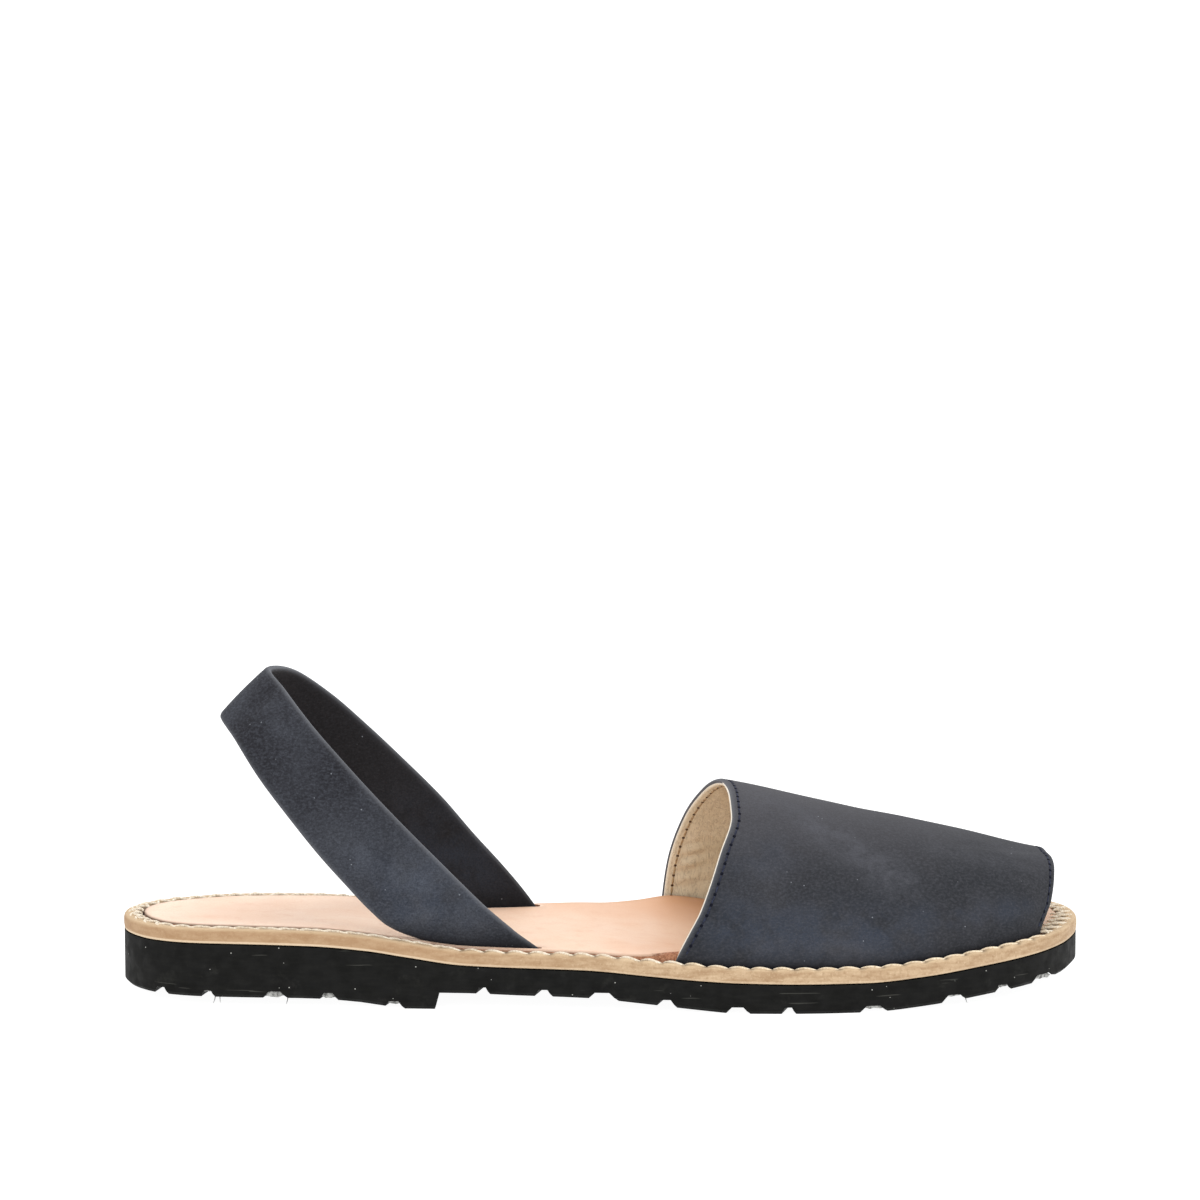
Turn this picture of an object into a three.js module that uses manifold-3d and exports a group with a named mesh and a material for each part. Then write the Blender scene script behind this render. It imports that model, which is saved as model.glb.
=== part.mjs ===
// A flat sandal: one wide vamp, open at the toe, and a heel strap, on a lugged rubber sole. Right shoe.
// Millimetres. +X runs from heel to toe, +Y to the inner (medial) side of the foot, +Z up from the floor.
// While the pieces are worked out, x = 0 is the back of the heel and y = 0 the middle of the heel.

import * as THREE from "three";
import { mergeVertices } from "three/addons/utils/BufferGeometryUtils.js";
import Module from "manifold-3d";

const wasm = await Module();
wasm.setup();

// The sole's main sizes. The ball's width is the scale of the plan, heel to toe.
const SOLE_LENGTH = 266;
const BALL_WIDTH = 91;
const SEAT_HEIGHT = 17.3;
const BALL_HEIGHT = 7.9;
const HEEL_LIFT = 2.7;
const ARCH_CLEARANCE = 4.5;
const TOE_SPRING = 5;
const BREAST_FROM_HEEL = 85;
const BREAST_LEAN = 1.2;
const TREAD_BEVEL = 0.9;

// The lugs are what stays between grooves, which run in from both edges of the tread.
const GROOVE_DEPTH = 1.9;
const GROOVE_WIDTH = 5.5;
const GROOVE_REACH = 22;
const GROOVE_SWEEP = 6;
const GROOVE_MOUTH_SHARE = 1.6;
const GROOVE_ROOF_SHARE = 0.5;

// The leather layers on the rubber. The insole turns up over a share of its width at the arch and the throat,
// where its edge also leans in, by a share of the arch rise.
const MIDSOLE_THICKNESS = 4;
const RIM_WIDTH = 5.2;
const INLAY_DEPTH = 1.7;
const INSOLE_THICKNESS = 1.7;
const ARCH_RISE = 1.6;
const THROAT_RISE = 1.6;
const ARCH_RISE_SHARE = 0.5;
const THROAT_RISE_SHARE = 0.33;
const INSOLE_LEAN = 0.17;

// The upper.
const VAMP_WALL = 1.8;
const INSTEP_HEIGHT = 44;
const TOE_OPENING_HEIGHT = 19;
const STRAP_THICKNESS = 2;
const STRAP_WIDTH = 22;
const STRAP_RISE = 66.5;
const SLOT_FROM_EDGE = 8.5;

// Neighbouring pieces stay this far apart.
const SEAM = 0.3;

// How far the midsole's channel for the vamp's foot runs on past the vamp, behind the throat and at the toe.
const CHANNEL_RUN_BACK = 7;
const CHANNEL_RUN_FRONT = 3;

// The sole from above: shares of the length from the heel, and of the ball's width from the middle line.
const OUTLINE = [
  { at: 0, lateral: 0, medial: 0 },
  { at: 0.011, lateral: 0.145, medial: 0.13 },
  { at: 0.034, lateral: 0.24, medial: 0.205 },
  { at: 0.07, lateral: 0.3, medial: 0.26 },
  { at: 0.12, lateral: 0.33, medial: 0.302 },
  { at: 0.2, lateral: 0.352, medial: 0.325 },
  { at: 0.3, lateral: 0.385, medial: 0.345 },
  { at: 0.4, lateral: 0.423, medial: 0.375 },
  { at: 0.5, lateral: 0.467, medial: 0.415 },
  { at: 0.6, lateral: 0.508, medial: 0.453 },
  { at: 0.7, lateral: 0.527, medial: 0.473 },
  { at: 0.77, lateral: 0.511, medial: 0.472 },
  { at: 0.83, lateral: 0.474, medial: 0.465 },
  { at: 0.89, lateral: 0.398, medial: 0.447 },
  { at: 0.94, lateral: 0.297, medial: 0.415 },
  { at: 0.975, lateral: 0.165, medial: 0.355 },
  { at: 0.992, lateral: 0.04, medial: 0.265 },
  { at: 1, lateral: -0.1, medial: 0.1 },
];

// The sole from the side. seat is the share of the way from the ball's height up to the heel seat's, and
// the others are shares of the heel lift, the arch clearance and the toe spring.
const PROFILE = [
  { at: 0, seat: 0.98, lift: 1, arch: 1, spring: 0 },
  { at: 0.1, seat: 1, lift: 1, arch: 1, spring: 0 },
  { at: 0.19, seat: 0.95, lift: 0.94, arch: 1, spring: 0 },
  { at: 0.25, seat: 0.82, lift: 0.55, arch: 1, spring: 0 },
  { at: 0.288, seat: 0.66, lift: 0, arch: 1, spring: 0 },
  { at: 0.35, seat: 0.43, lift: 0, arch: 1, spring: 0 },
  { at: 0.4, seat: 0.385, lift: 0, arch: 0.92, spring: 0 },
  { at: 0.47, seat: 0.35, lift: 0, arch: 0.84, spring: 0 },
  { at: 0.54, seat: 0.2, lift: 0, arch: 0.5, spring: 0 },
  { at: 0.59, seat: 0.09, lift: 0, arch: 0.2, spring: 0 },
  { at: 0.63, seat: 0.03, lift: 0, arch: 0, spring: 0 },
  { at: 0.7, seat: 0, lift: 0, arch: 0, spring: 0 },
  { at: 0.76, seat: 0, lift: 0, arch: 0, spring: 0 },
  { at: 0.82, seat: 0, lift: 0, arch: 0, spring: 0.2 },
  { at: 0.88, seat: 0, lift: 0, arch: 0, spring: 0.5 },
  { at: 0.94, seat: 0, lift: 0, arch: 0, spring: 0.76 },
  { at: 1, seat: 0, lift: 0, arch: 0, spring: 1 },
];

// How far the insole's edges turn up: shares of the arch rise (medial) and of the throat rise (lateral).
const INSOLE_EDGE = [
  { at: 0, medial: 0, lateral: 0 },
  { at: 0.18, medial: 0.05, lateral: 0 },
  { at: 0.3, medial: 0.6, lateral: 0 },
  { at: 0.42, medial: 1, lateral: 0 },
  { at: 0.5, medial: 1.25, lateral: 0 },
  { at: 0.54, medial: 2.1, lateral: 0.5 },
  { at: 0.58, medial: 3.3, lateral: 1.6 },
  { at: 0.66, medial: 1.9, lateral: 1 },
  { at: 0.85, medial: 0, lateral: 0 },
  { at: 1, medial: 0, lateral: 0 },
];

// The grooves, at shares of the length, each as wide as a share of the groove width.
const GROOVES = [
  { at: 0.038, wide: 0.8 },
  { at: 0.086, wide: 0.7 },
  { at: 0.155, wide: 1.2 },
  { at: 0.21, wide: 0.9 },
  { at: 0.277, wide: 1 },
  { at: 0.368, wide: 0.7 },
  { at: 0.43, wide: 0.9 },
  { at: 0.49, wide: 1.5 },
  { at: 0.555, wide: 1 },
  { at: 0.628, wide: 1.2 },
  { at: 0.68, wide: 0.7 },
  { at: 0.768, wide: 1.3 },
  { at: 0.853, wide: 1.1 },
  { at: 0.906, wide: 0.7 },
  { at: 0.952, wide: 0.9 },
];

// The vamp along the shoe: its crown's height above the rim, as a share of the way from the toe opening's
// height up to the instep's, the crown's place as a share of the ball's width, and how square its section is.
const VAMP_CROWN = [
  { at: 0.54, rise: 1.1, side: 0.01, square: 2.1 },
  { at: 0.632, rise: 1, side: 0.01, square: 2.15 },
  { at: 0.72, rise: 0.79, side: 0.02, square: 2.25 },
  { at: 0.8, rise: 0.57, side: 0.035, square: 2.35 },
  { at: 0.88, rise: 0.29, side: 0.055, square: 2.5 },
  { at: 0.95, rise: 0.03, side: 0.08, square: 2.7 },
  { at: 0.98, rise: -0.05, side: 0.09, square: 2.8 },
];

// The vamp's two open edges, round the section from its lateral foot (0) over the crown (0.5) to its medial
// foot (1), at shares of the length.
const VAMP_EDGES = [
  { round: 0, throat: 0.565, toe: 0.953 },
  { round: 0.05, throat: 0.5795, toe: 0.961 },
  { round: 0.1, throat: 0.593, toe: 0.9665 },
  { round: 0.22, throat: 0.6135, toe: 0.971 },
  { round: 0.34, throat: 0.629, toe: 0.9727 },
  { round: 0.43, throat: 0.6295, toe: 0.9717 },
  { round: 0.5, throat: 0.627, toe: 0.969 },
  { round: 0.66, throat: 0.609, toe: 0.9675 },
  { round: 0.78, throat: 0.59, toe: 0.967 },
  { round: 0.9, throat: 0.574, toe: 0.962 },
  { round: 1, throat: 0.567, toe: 0.956 },
];

// The strap, from its lateral slot round the heel to its medial slot. Its middle line: x as a share of the
// length, up as a share of the strap's rise, and out as a share of its slot's distance from the middle line,
// lateral side negative. broad is the share of the strap's width, slant the angle of its breadth above level
// in degrees, and foot how far its breadth still lies along the slot.
const STRAP = [
  { x: 0.374, up: 0, out: -1, broad: 1.31, slant: -3, foot: 1 },
  { x: 0.348, up: 0.056, out: -1, broad: 1.31, slant: 3, foot: 0.9 },
  { x: 0.3215, up: 0.13, out: -1, broad: 1.24, slant: 12, foot: 0.7 },
  { x: 0.299, up: 0.215, out: -0.99, broad: 1.15, slant: 21, foot: 0.5 },
  { x: 0.267, up: 0.347, out: -0.97, broad: 1.06, slant: 33, foot: 0.3 },
  { x: 0.233, up: 0.493, out: -0.93, broad: 1.02, slant: 40, foot: 0.15 },
  { x: 0.201, up: 0.641, out: -0.86, broad: 0.98, slant: 44, foot: 0 },
  { x: 0.169, up: 0.794, out: -0.72, broad: 0.94, slant: 46, foot: 0 },
  { x: 0.143, up: 0.93, out: -0.42, broad: 0.89, slant: 46, foot: 0 },
  { x: 0.128, up: 1, out: 0.03, broad: 0.86, slant: 45, foot: 0 },
  { x: 0.153, up: 0.965, out: 0.45, broad: 0.89, slant: 45.5, foot: 0 },
  { x: 0.19, up: 0.845, out: 0.72, broad: 0.93, slant: 46, foot: 0 },
  { x: 0.229, up: 0.69, out: 0.87, broad: 0.97, slant: 45.5, foot: 0 },
  { x: 0.266, up: 0.536, out: 0.95, broad: 1, slant: 43, foot: 0.1 },
  { x: 0.3, up: 0.388, out: 0.98, broad: 1.04, slant: 38, foot: 0.25 },
  { x: 0.33, up: 0.235, out: 1, broad: 1.1, slant: 29, foot: 0.45 },
  { x: 0.353, up: 0.13, out: 1, broad: 1.19, slant: 17, foot: 0.7 },
  { x: 0.37, up: 0.056, out: 1, broad: 1.27, slant: 6, foot: 0.9 },
  { x: 0.384, up: 0, out: 1, broad: 1.31, slant: -3, foot: 1 },
];

// How finely the curves are cut into flat faces.
const SOLE_STATIONS = 64;
const INSOLE_COLUMNS = 8;
const VAMP_STEPS_ALONG = 26;
const VAMP_STEPS_ROUND = 32;
const STRAP_STEPS_ALONG = 66;
const STRAP_STEPS_ACROSS = 3;

const mix = (a, b, share) => a + (b - a) * share;
const clamp01 = (value) => Math.min(1, Math.max(0, value));
const radians = (degrees) => (degrees * Math.PI) / 180;

// A share of the length as a share of half a turn, and back, so that a curve drawn over it has round ends.
const asTurn = (share) => Math.acos(1 - 2 * clamp01(share)) / Math.PI;
const fromTurn = (turn) => (1 - Math.cos(Math.PI * turn)) / 2;

// A smooth curve through one column of a table, which never swings past its rows.
function column(rows, name, key = "at", place = (share) => share) {
  const along = rows.map((row) => place(row[key]));
  const value = rows.map((row) => row[name]);
  const rate = rows.slice(1).map((_, i) => (value[i + 1] - value[i]) / (along[i + 1] - along[i]));
  const slope = rows.map((_, i) => {
    if (i === 0) return rate[0];
    if (i === rows.length - 1) return rate[i - 1];
    const product = rate[i - 1] * rate[i];
    return product > 0 ? (2 * product) / (rate[i - 1] + rate[i]) : 0;
  });
  return (share) => {
    const spot = Math.min(along[along.length - 1], Math.max(along[0], place(share)));
    const i = Math.max(0, along.findIndex((end) => end >= spot) - 1);
    const span = along[i + 1] - along[i];
    const t = (spot - along[i]) / span;
    const ease = t * t * (3 - 2 * t);
    const leave = t * (1 - t) * (1 - t) * span * slope[i];
    const arrive = t * t * (1 - t) * span * slope[i + 1];
    return mix(value[i], value[i + 1], ease) + leave - arrive;
  };
}

const lateralShare = column(OUTLINE, "lateral", "at", asTurn);
const medialShare = column(OUTLINE, "medial", "at", asTurn);
const seatShare = column(PROFILE, "seat");
const liftShare = column(PROFILE, "lift");
const archShare = column(PROFILE, "arch");
const springShare = column(PROFILE, "spring");
const lateralTurnUp = column(INSOLE_EDGE, "lateral");
const medialTurnUp = column(INSOLE_EDGE, "medial");

// Heights along the shoe, at x from the back of the heel.
const toeRise = (x) => TOE_SPRING * springShare(x / SOLE_LENGTH);
const rubberTop = (x) => mix(BALL_HEIGHT, SEAT_HEIGHT, seatShare(x / SOLE_LENGTH)) + toeRise(x);
const heelTread = (x) => HEEL_LIFT * liftShare(x / SOLE_LENGTH);
const foreTread = (x) => ARCH_CLEARANCE * archShare(x / SOLE_LENGTH) + toeRise(x);
const midsoleFloor = (x) => rubberTop(x) + SEAM;
const rimTop = (x) => midsoleFloor(x) + MIDSOLE_THICKNESS;
const inlayFloor = (x) => rimTop(x) - INLAY_DEPTH;
const insoleFloor = (x) => inlayFloor(x) + SEAM;
const insoleTop = (x) => insoleFloor(x) + INSOLE_THICKNESS;

// A closed solid of flat triangles, from points and faces of three or four corners, which face out.
function solid(points, faces) {
  const geometry = new THREE.BufferGeometry();
  geometry.setAttribute("position", new THREE.Float32BufferAttribute(points.flat(), 3));
  geometry.setIndex(faces.flatMap(([a, b, c, d]) => (d === undefined ? [a, b, c] : [a, b, c, a, c, d])));
  const merged = mergeVertices(geometry, 1e-4);
  const corners = Array.from(merged.index.array);
  const triangles = corners.filter((_, i) => {
    const first = i - (i % 3);
    return new Set(corners.slice(first, first + 3)).size === 3;
  });
  return new wasm.Manifold(
    new wasm.Mesh({
      numProp: 3,
      vertProperties: merged.attributes.position.array,
      triVerts: new Uint32Array(triangles),
    }),
  );
}

function asMesh(name, made, look) {
  const { vertProperties, triVerts } = made.getMesh();
  const geometry = new THREE.BufferGeometry();
  geometry.setAttribute("position", new THREE.BufferAttribute(vertProperties, 3));
  geometry.setIndex(new THREE.BufferAttribute(triVerts, 1));
  geometry.computeVertexNormals();
  const mesh = new THREE.Mesh(geometry, new THREE.MeshStandardMaterial(look));
  mesh.name = name;
  return mesh;
}

// The sole's edge as a ring of points: the heel's back, the lateral side, the tip, then the medial side.
function soleRing() {
  const stations = Array.from({ length: SOLE_STATIONS + 1 }, (_, i) => fromTurn(i / SOLE_STATIONS));
  const lateral = stations.map((at) => [at * SOLE_LENGTH, -lateralShare(at) * BALL_WIDTH]);
  const medial = stations.map((at) => [at * SOLE_LENGTH, medialShare(at) * BALL_WIDTH]);
  return [...lateral, ...medial.slice(1, -1).reverse()];
}

// The ring moved in by a distance, which may differ along the shoe.
function inset(ring, distance) {
  return ring.map(([x, y], i) => {
    const [backX, backY] = ring.at(i - 1);
    const [nextX, nextY] = ring[(i + 1) % ring.length];
    const across = typeof distance === "function" ? distance(x) : distance;
    const share = across / Math.hypot(nextX - backX, nextY - backY);
    return [x - (nextY - backY) * share, y + (nextX - backX) * share];
  });
}

// The two sides of a ring as y at any x, each drawn on straight past a last x.
function sidesOf(ring, lastX) {
  const half = ring.length / 2;
  const read = (line) => {
    const y = (x) => {
      const i = Math.max(1, line.findIndex(([end]) => end >= x));
      const [[ax, ay], [bx, by]] = [line[i - 1], line[i]];
      return mix(ay, by, (x - ax) / (bx - ax));
    };
    const slope = (y(lastX) - y(lastX - VAMP_WALL)) / VAMP_WALL;
    return (x) => (x <= lastX ? y(x) : y(lastX) + (x - lastX) * slope);
  };
  return { lateral: read(ring.slice(0, half + 1)), medial: read([ring[0], ...ring.slice(half).reverse()]) };
}

const raise = (ring, height) => ring.map(([x, y]) => [x, y, height(x)]);

// A plate between stacked rings, the lowest first. Its two end faces run across from side to side.
function plate(rings) {
  const count = rings[0].length;
  const half = count / 2;
  const walls = rings.slice(1).flatMap((_, r) =>
    rings[0].map((_, i) => {
      const next = (i + 1) % count;
      return [r * count + i, r * count + next, (r + 1) * count + next, (r + 1) * count + i];
    }),
  );
  const across = (start) =>
    Array.from({ length: half }, (_, i) => {
      const face = [start + i, start + i + 1, start + count - i - 1, start + ((count - i) % count)];
      return [...new Set(face)];
    });
  const floor = across(0).map((face) => face.reverse());
  return solid(rings.flat(), [...floor, ...walls, ...across((rings.length - 1) * count)]);
}

// A prism with a section in the x-z plane, from one y up to another, where it is shifted along x by sweep.
function prism(section, fromY, toY, sweep = 0) {
  const n = section.length;
  const points = [
    ...section.map(([x, z]) => [x, fromY, z]),
    ...section.map(([x, z]) => [x + sweep, toY, z]),
  ];
  const sides = section.map((_, i) => [i, n + i, n + ((i + 1) % n), (i + 1) % n]);
  const near = section.slice(2).map((_, i) => [0, i + 1, i + 2]);
  const far = section.slice(2).map((_, i) => [n, n + i + 2, n + i + 1]);
  return solid(points, [...sides, ...near, ...far]);
}

// A closed sheet from two grids of points, the face and the back behind it.
function sheet(face, back) {
  const rows = face.length;
  const count = face[0].length;
  const f = (r, c) => r * count + c;
  const b = (r, c) => (rows + r) * count + c;
  const faces = [];
  for (let r = 0; r + 1 < rows; r++) {
    for (let c = 0; c + 1 < count; c++) {
      faces.push([f(r, c), f(r + 1, c), f(r + 1, c + 1), f(r, c + 1)]);
      faces.push([b(r, c), b(r, c + 1), b(r + 1, c + 1), b(r + 1, c)]);
    }
    faces.push([f(r, 0), b(r, 0), b(r + 1, 0), f(r + 1, 0)]);
    faces.push([f(r, count - 1), f(r + 1, count - 1), b(r + 1, count - 1), b(r, count - 1)]);
  }
  for (let c = 0; c + 1 < count; c++) {
    faces.push([f(0, c), f(0, c + 1), b(0, c + 1), b(0, c)]);
    faces.push([f(rows - 1, c), b(rows - 1, c), b(rows - 1, c + 1), f(rows - 1, c + 1)]);
  }
  return solid([...face.flat(), ...back.flat()], faces);
}

const edge = soleRing();

// One groove from each edge of the tread, swept forward towards the middle.
function groovePair({ at, wide }) {
  const x = at * SOLE_LENGTH;
  const tread = x < BREAST_FROM_HEEL ? heelTread : foreTread;
  const half = (GROOVE_WIDTH * wide) / 2;
  const roof = tread(x) + GROOVE_DEPTH;
  const under = Math.min(tread(x - half), tread(x + half)) - GROOVE_DEPTH;
  const section = (shift) => [
    [x + shift - half * GROOVE_MOUTH_SHARE, under],
    [x + shift + half * GROOVE_MOUTH_SHARE, under],
    [x + shift + half * GROOVE_ROOF_SHARE, roof],
    [x + shift - half * GROOVE_ROOF_SHARE, roof],
  ];
  const lateralEdge = -lateralShare(at) * BALL_WIDTH;
  const medialEdge = medialShare(at) * BALL_WIDTH;
  const across = (middleY, sweep) =>
    prism(section(-sweep), middleY - GROOVE_REACH, middleY + GROOVE_REACH, sweep * 2);
  return across(lateralEdge, GROOVE_SWEEP).add(across(medialEdge, -GROOVE_SWEEP));
}

// Rubber outsole: heel block and forefoot in one, with the breast's step between them.
function outsole() {
  const blank = (tread) =>
    plate([
      raise(inset(edge, TREAD_BEVEL), tread),
      raise(edge, (x) => tread(x) + TREAD_BEVEL),
      raise(edge, rubberTop),
    ]);
  const clear = SEAT_HEIGHT * 2;
  const aheadOfBreast = [
    [BREAST_FROM_HEEL, -clear],
    [SOLE_LENGTH * 2, -clear],
    [SOLE_LENGTH * 2, clear],
    [BREAST_FROM_HEEL + (BREAST_LEAN * clear) / ARCH_CLEARANCE, clear],
    [BREAST_FROM_HEEL, 0],
  ];
  const heel = blank(heelTread).subtract(prism(aheadOfBreast, -BALL_WIDTH, BALL_WIDTH));
  return GROOVES.reduce((rubber, groove) => rubber.subtract(groovePair(groove)), heel.add(blank(foreTread)));
}

// Leather midsole: a rim round an inlay for the insole, which widens into a channel for the vamp's foot. The
// channel is at full width from one run behind the throat to one run past the toe, and gone after two.
function midsole() {
  const throatFoot = Math.min(VAMP_EDGES[0].throat, VAMP_EDGES.at(-1).throat) * SOLE_LENGTH;
  const toeFoot = Math.max(VAMP_EDGES[0].toe, VAMP_EDGES.at(-1).toe) * SOLE_LENGTH;
  const openedBack = (x) => clamp01((x - throatFoot) / CHANNEL_RUN_BACK + 2);
  const openedFront = (x) => clamp01((toeFoot - x) / CHANNEL_RUN_FRONT + 2);
  const inlay = inset(edge, (x) => RIM_WIDTH - (VAMP_WALL + SEAM) * openedBack(x) * openedFront(x));
  return plate([
    raise(edge, midsoleFloor),
    raise(edge, rimTop),
    raise(inlay, rimTop),
    raise(inlay, inlayFloor),
  ]);
}

// Leather insole, let into the midsole, its edges turned up at the arch and at the throat.
function insole() {
  const lean = (x) => INSOLE_LEAN * ARCH_RISE * medialTurnUp(x / SOLE_LENGTH);
  const ring = inset(edge, (x) => RIM_WIDTH + SEAM + lean(x));
  const half = ring.length / 2;
  const turnUp = (x, share) => {
    const towardsMedial = clamp01(1 - (1 - share) / ARCH_RISE_SHARE) ** 2;
    const towardsLateral = clamp01(1 - share / THROAT_RISE_SHARE) ** 2;
    const medial = ARCH_RISE * medialTurnUp(x / SOLE_LENGTH) * towardsMedial;
    return medial + THROAT_RISE * lateralTurnUp(x / SOLE_LENGTH) * towardsLateral;
  };
  const grid = (height) =>
    Array.from({ length: half + 1 }, (_, i) =>
      Array.from({ length: INSOLE_COLUMNS + 1 }, (_, c) => {
        const share = c / INSOLE_COLUMNS;
        const [near, far] = [ring[i], ring.at(-i)];
        const x = mix(near[0], far[0], share);
        return [x, mix(near[1], far[1], share), height(x, share)];
      }),
    );
  const leather = sheet(
    grid((x, share) => insoleTop(x) + turnUp(x, share)),
    grid((x) => insoleFloor(x)),
  );
  return leather.subtract(strapBand(SEAM));
}

// The vamp's outer face at a share of the way from the throat's edge to the toe's, and at a share round it.
// Below its first and last turn the wall goes straight down into the midsole's channel.
function vampFace() {
  const throat = column(VAMP_EDGES, "throat", "round");
  const toe = column(VAMP_EDGES, "toe", "round");
  const rise = column(VAMP_CROWN, "rise");
  const side = column(VAMP_CROWN, "side");
  const square = column(VAMP_CROWN, "square");
  const lastFoot = Math.min(VAMP_EDGES[0].toe, VAMP_EDGES.at(-1).toe) * SOLE_LENGTH;
  const foot = sidesOf(inset(edge, RIM_WIDTH - VAMP_WALL), lastFoot);
  return (along, round) => {
    const turn = clamp01(round);
    const x = mix(throat(turn), toe(turn), along) * SOLE_LENGTH;
    const at = x / SOLE_LENGTH;
    const crownY = side(at) * BALL_WIDTH;
    const footY = turn < 0.5 ? foot.lateral(x) : foot.medial(x);
    const power = 2 / square(at);
    const out = Math.abs(Math.cos(Math.PI * turn)) ** power;
    const up = Math.sin(Math.PI * turn) ** power;
    const crown = mix(TOE_OPENING_HEIGHT, INSTEP_HEIGHT, rise(at));
    const z = turn === round ? rimTop(x) + crown * up : insoleFloor(x);
    return new THREE.Vector3(x, mix(crownY, footY, out), z);
  };
}

// Nubuck vamp: one shell with the wall's thickness inside its outer face.
function vamp() {
  const face = vampFace();
  const step = 1 / VAMP_STEPS_ROUND;
  const rounds = Array.from({ length: VAMP_STEPS_ROUND + 3 }, (_, i) => (i - 1) * step);
  const points = Array.from({ length: VAMP_STEPS_ALONG + 1 }, (_, r) =>
    rounds.map((round) => face(r / VAMP_STEPS_ALONG, round)),
  );
  const inner = points.map((row, r) =>
    row.map((point, c) => {
      const before = points[Math.max(0, r - 1)][c];
      const after = points[Math.min(VAMP_STEPS_ALONG, r + 1)][c];
      const under = row[Math.max(0, c - 1)];
      const over = row[Math.min(row.length - 1, c + 1)];
      const inward = over.clone().sub(under).cross(after.clone().sub(before)).normalize();
      return point.clone().addScaledVector(inward, VAMP_WALL);
    }),
  );
  const asRows = (grid) => grid.map((row) => row.map((point) => point.toArray()));
  return sheet(asRows(points), asRows(inner));
}

// The strap as one flat band, larger all round by clearance, its two ends let down into the insole.
function strapBand(clearance) {
  const last = STRAP.length - 1;
  const rows = STRAP.map((row, i) => ({ ...row, at: i / last }));
  const [broad, slant, foot] = ["broad", "slant", "foot"].map((name) => column(rows, name));
  const slotOf = (row, side) => {
    const y = (at) => side(at) * BALL_WIDTH - SLOT_FROM_EDGE;
    const halfSlot = (row.broad * STRAP_WIDTH) / 2 / SOLE_LENGTH;
    const splay = (y(row.x + halfSlot) - y(row.x - halfSlot)) / (2 * halfSlot * SOLE_LENGTH);
    return { y: y(row.x), angle: Math.atan(splay) };
  };
  const lateralSlot = slotOf(STRAP[0], lateralShare);
  const medialSlot = slotOf(STRAP[last], medialShare);
  const line = new THREE.CatmullRomCurve3(
    STRAP.map(({ x, up, out }) => {
      const slotY = out < 0 ? lateralSlot.y : medialSlot.y;
      const seat = insoleTop((out < 0 ? STRAP[0].x : STRAP[last].x) * SOLE_LENGTH);
      return new THREE.Vector3(x * SOLE_LENGTH, out * slotY, seat + up * STRAP_RISE);
    }),
  );
  const section = (at) => {
    const middle = line.getPoint(at);
    const level = foot(at) * (at < 0.5 ? -lateralSlot.angle : medialSlot.angle);
    const rise = radians(slant(at));
    const breadth = new THREE.Vector3(
      Math.cos(rise) * Math.cos(level),
      Math.cos(rise) * Math.sin(level),
      Math.sin(rise),
    );
    const out = line.getTangent(at).cross(breadth).normalize();
    const half = (broad(at) * STRAP_WIDTH) / 2 + clearance;
    return [1, -1].map((face) =>
      Array.from({ length: STRAP_STEPS_ACROSS + 1 }, (_, c) =>
        middle
          .clone()
          .addScaledVector(breadth, mix(-half, half, c / STRAP_STEPS_ACROSS))
          .addScaledVector(out, face * (STRAP_THICKNESS / 2 + clearance)),
      ),
    );
  };
  const letDown = (pair) =>
    pair.map((row) => row.map((p) => new THREE.Vector3(p.x, p.y, insoleFloor(p.x) - 2 * clearance)));
  const sections = Array.from({ length: STRAP_STEPS_ALONG + 1 }, (_, i) => section(i / STRAP_STEPS_ALONG));
  const whole = [letDown(sections[0]), ...sections, letDown(sections.at(-1))];
  const side = (k) => whole.map((pair) => pair[k].map((p) => p.toArray()));
  return sheet(side(0), side(1));
}

const pieces = {
  outsole: [outsole(), { color: 0x1d1e1c, roughness: 0.85, metalness: 0 }],
  midsole: [midsole(), { color: 0xd0b187, roughness: 0.7, metalness: 0 }],
  insole: [insole(), { color: 0xf6dcc6, roughness: 0.6, metalness: 0 }],
  vamp: [vamp(), { color: 0x3e424c, roughness: 0.95, metalness: 0 }],
  heel_strap: [strapBand(0), { color: 0x3a3d46, roughness: 0.95, metalness: 0 }],
};

// The finished shoe stands with its sole's middle over the origin.
const sandal = new THREE.Group();
const acrossSole = edge.map(([, y]) => y);
const middleY = (Math.min(...acrossSole) + Math.max(...acrossSole)) / 2;
sandal.position.set(-SOLE_LENGTH / 2, -middleY, 0);
for (const [name, [made, look]] of Object.entries(pieces)) sandal.add(asMesh(name, made, look));

export default sandal;
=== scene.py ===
import math

import bpy
import numpy as np
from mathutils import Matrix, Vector


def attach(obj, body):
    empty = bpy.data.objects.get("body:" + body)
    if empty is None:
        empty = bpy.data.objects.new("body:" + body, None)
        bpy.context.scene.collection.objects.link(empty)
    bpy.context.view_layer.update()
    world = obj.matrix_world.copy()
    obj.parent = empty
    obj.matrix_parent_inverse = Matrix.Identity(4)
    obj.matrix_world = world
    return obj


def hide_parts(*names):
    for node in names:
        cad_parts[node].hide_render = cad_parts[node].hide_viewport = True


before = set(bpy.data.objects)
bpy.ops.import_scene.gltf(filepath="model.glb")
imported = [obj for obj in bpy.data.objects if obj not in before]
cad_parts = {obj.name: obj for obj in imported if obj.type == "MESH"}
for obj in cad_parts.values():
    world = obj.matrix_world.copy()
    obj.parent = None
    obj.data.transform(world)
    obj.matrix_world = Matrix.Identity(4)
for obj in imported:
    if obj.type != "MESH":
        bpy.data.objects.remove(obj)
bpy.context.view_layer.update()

# The shoe's own sizes in millimetres, with x = 0 at the back of the heel and y = 0 on its middle line.
SOLE_LENGTH = 266
BALL_WIDTH = 91
SEAT_HEIGHT = 17.3
BALL_HEIGHT = 7.9
TOE_SPRING = 5
MIDSOLE_THICKNESS = 4
RIM_WIDTH = 5.2
INLAY_DEPTH = 1.7
INSOLE_THICKNESS = 1.7
ARCH_RISE = 1.6
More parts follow.
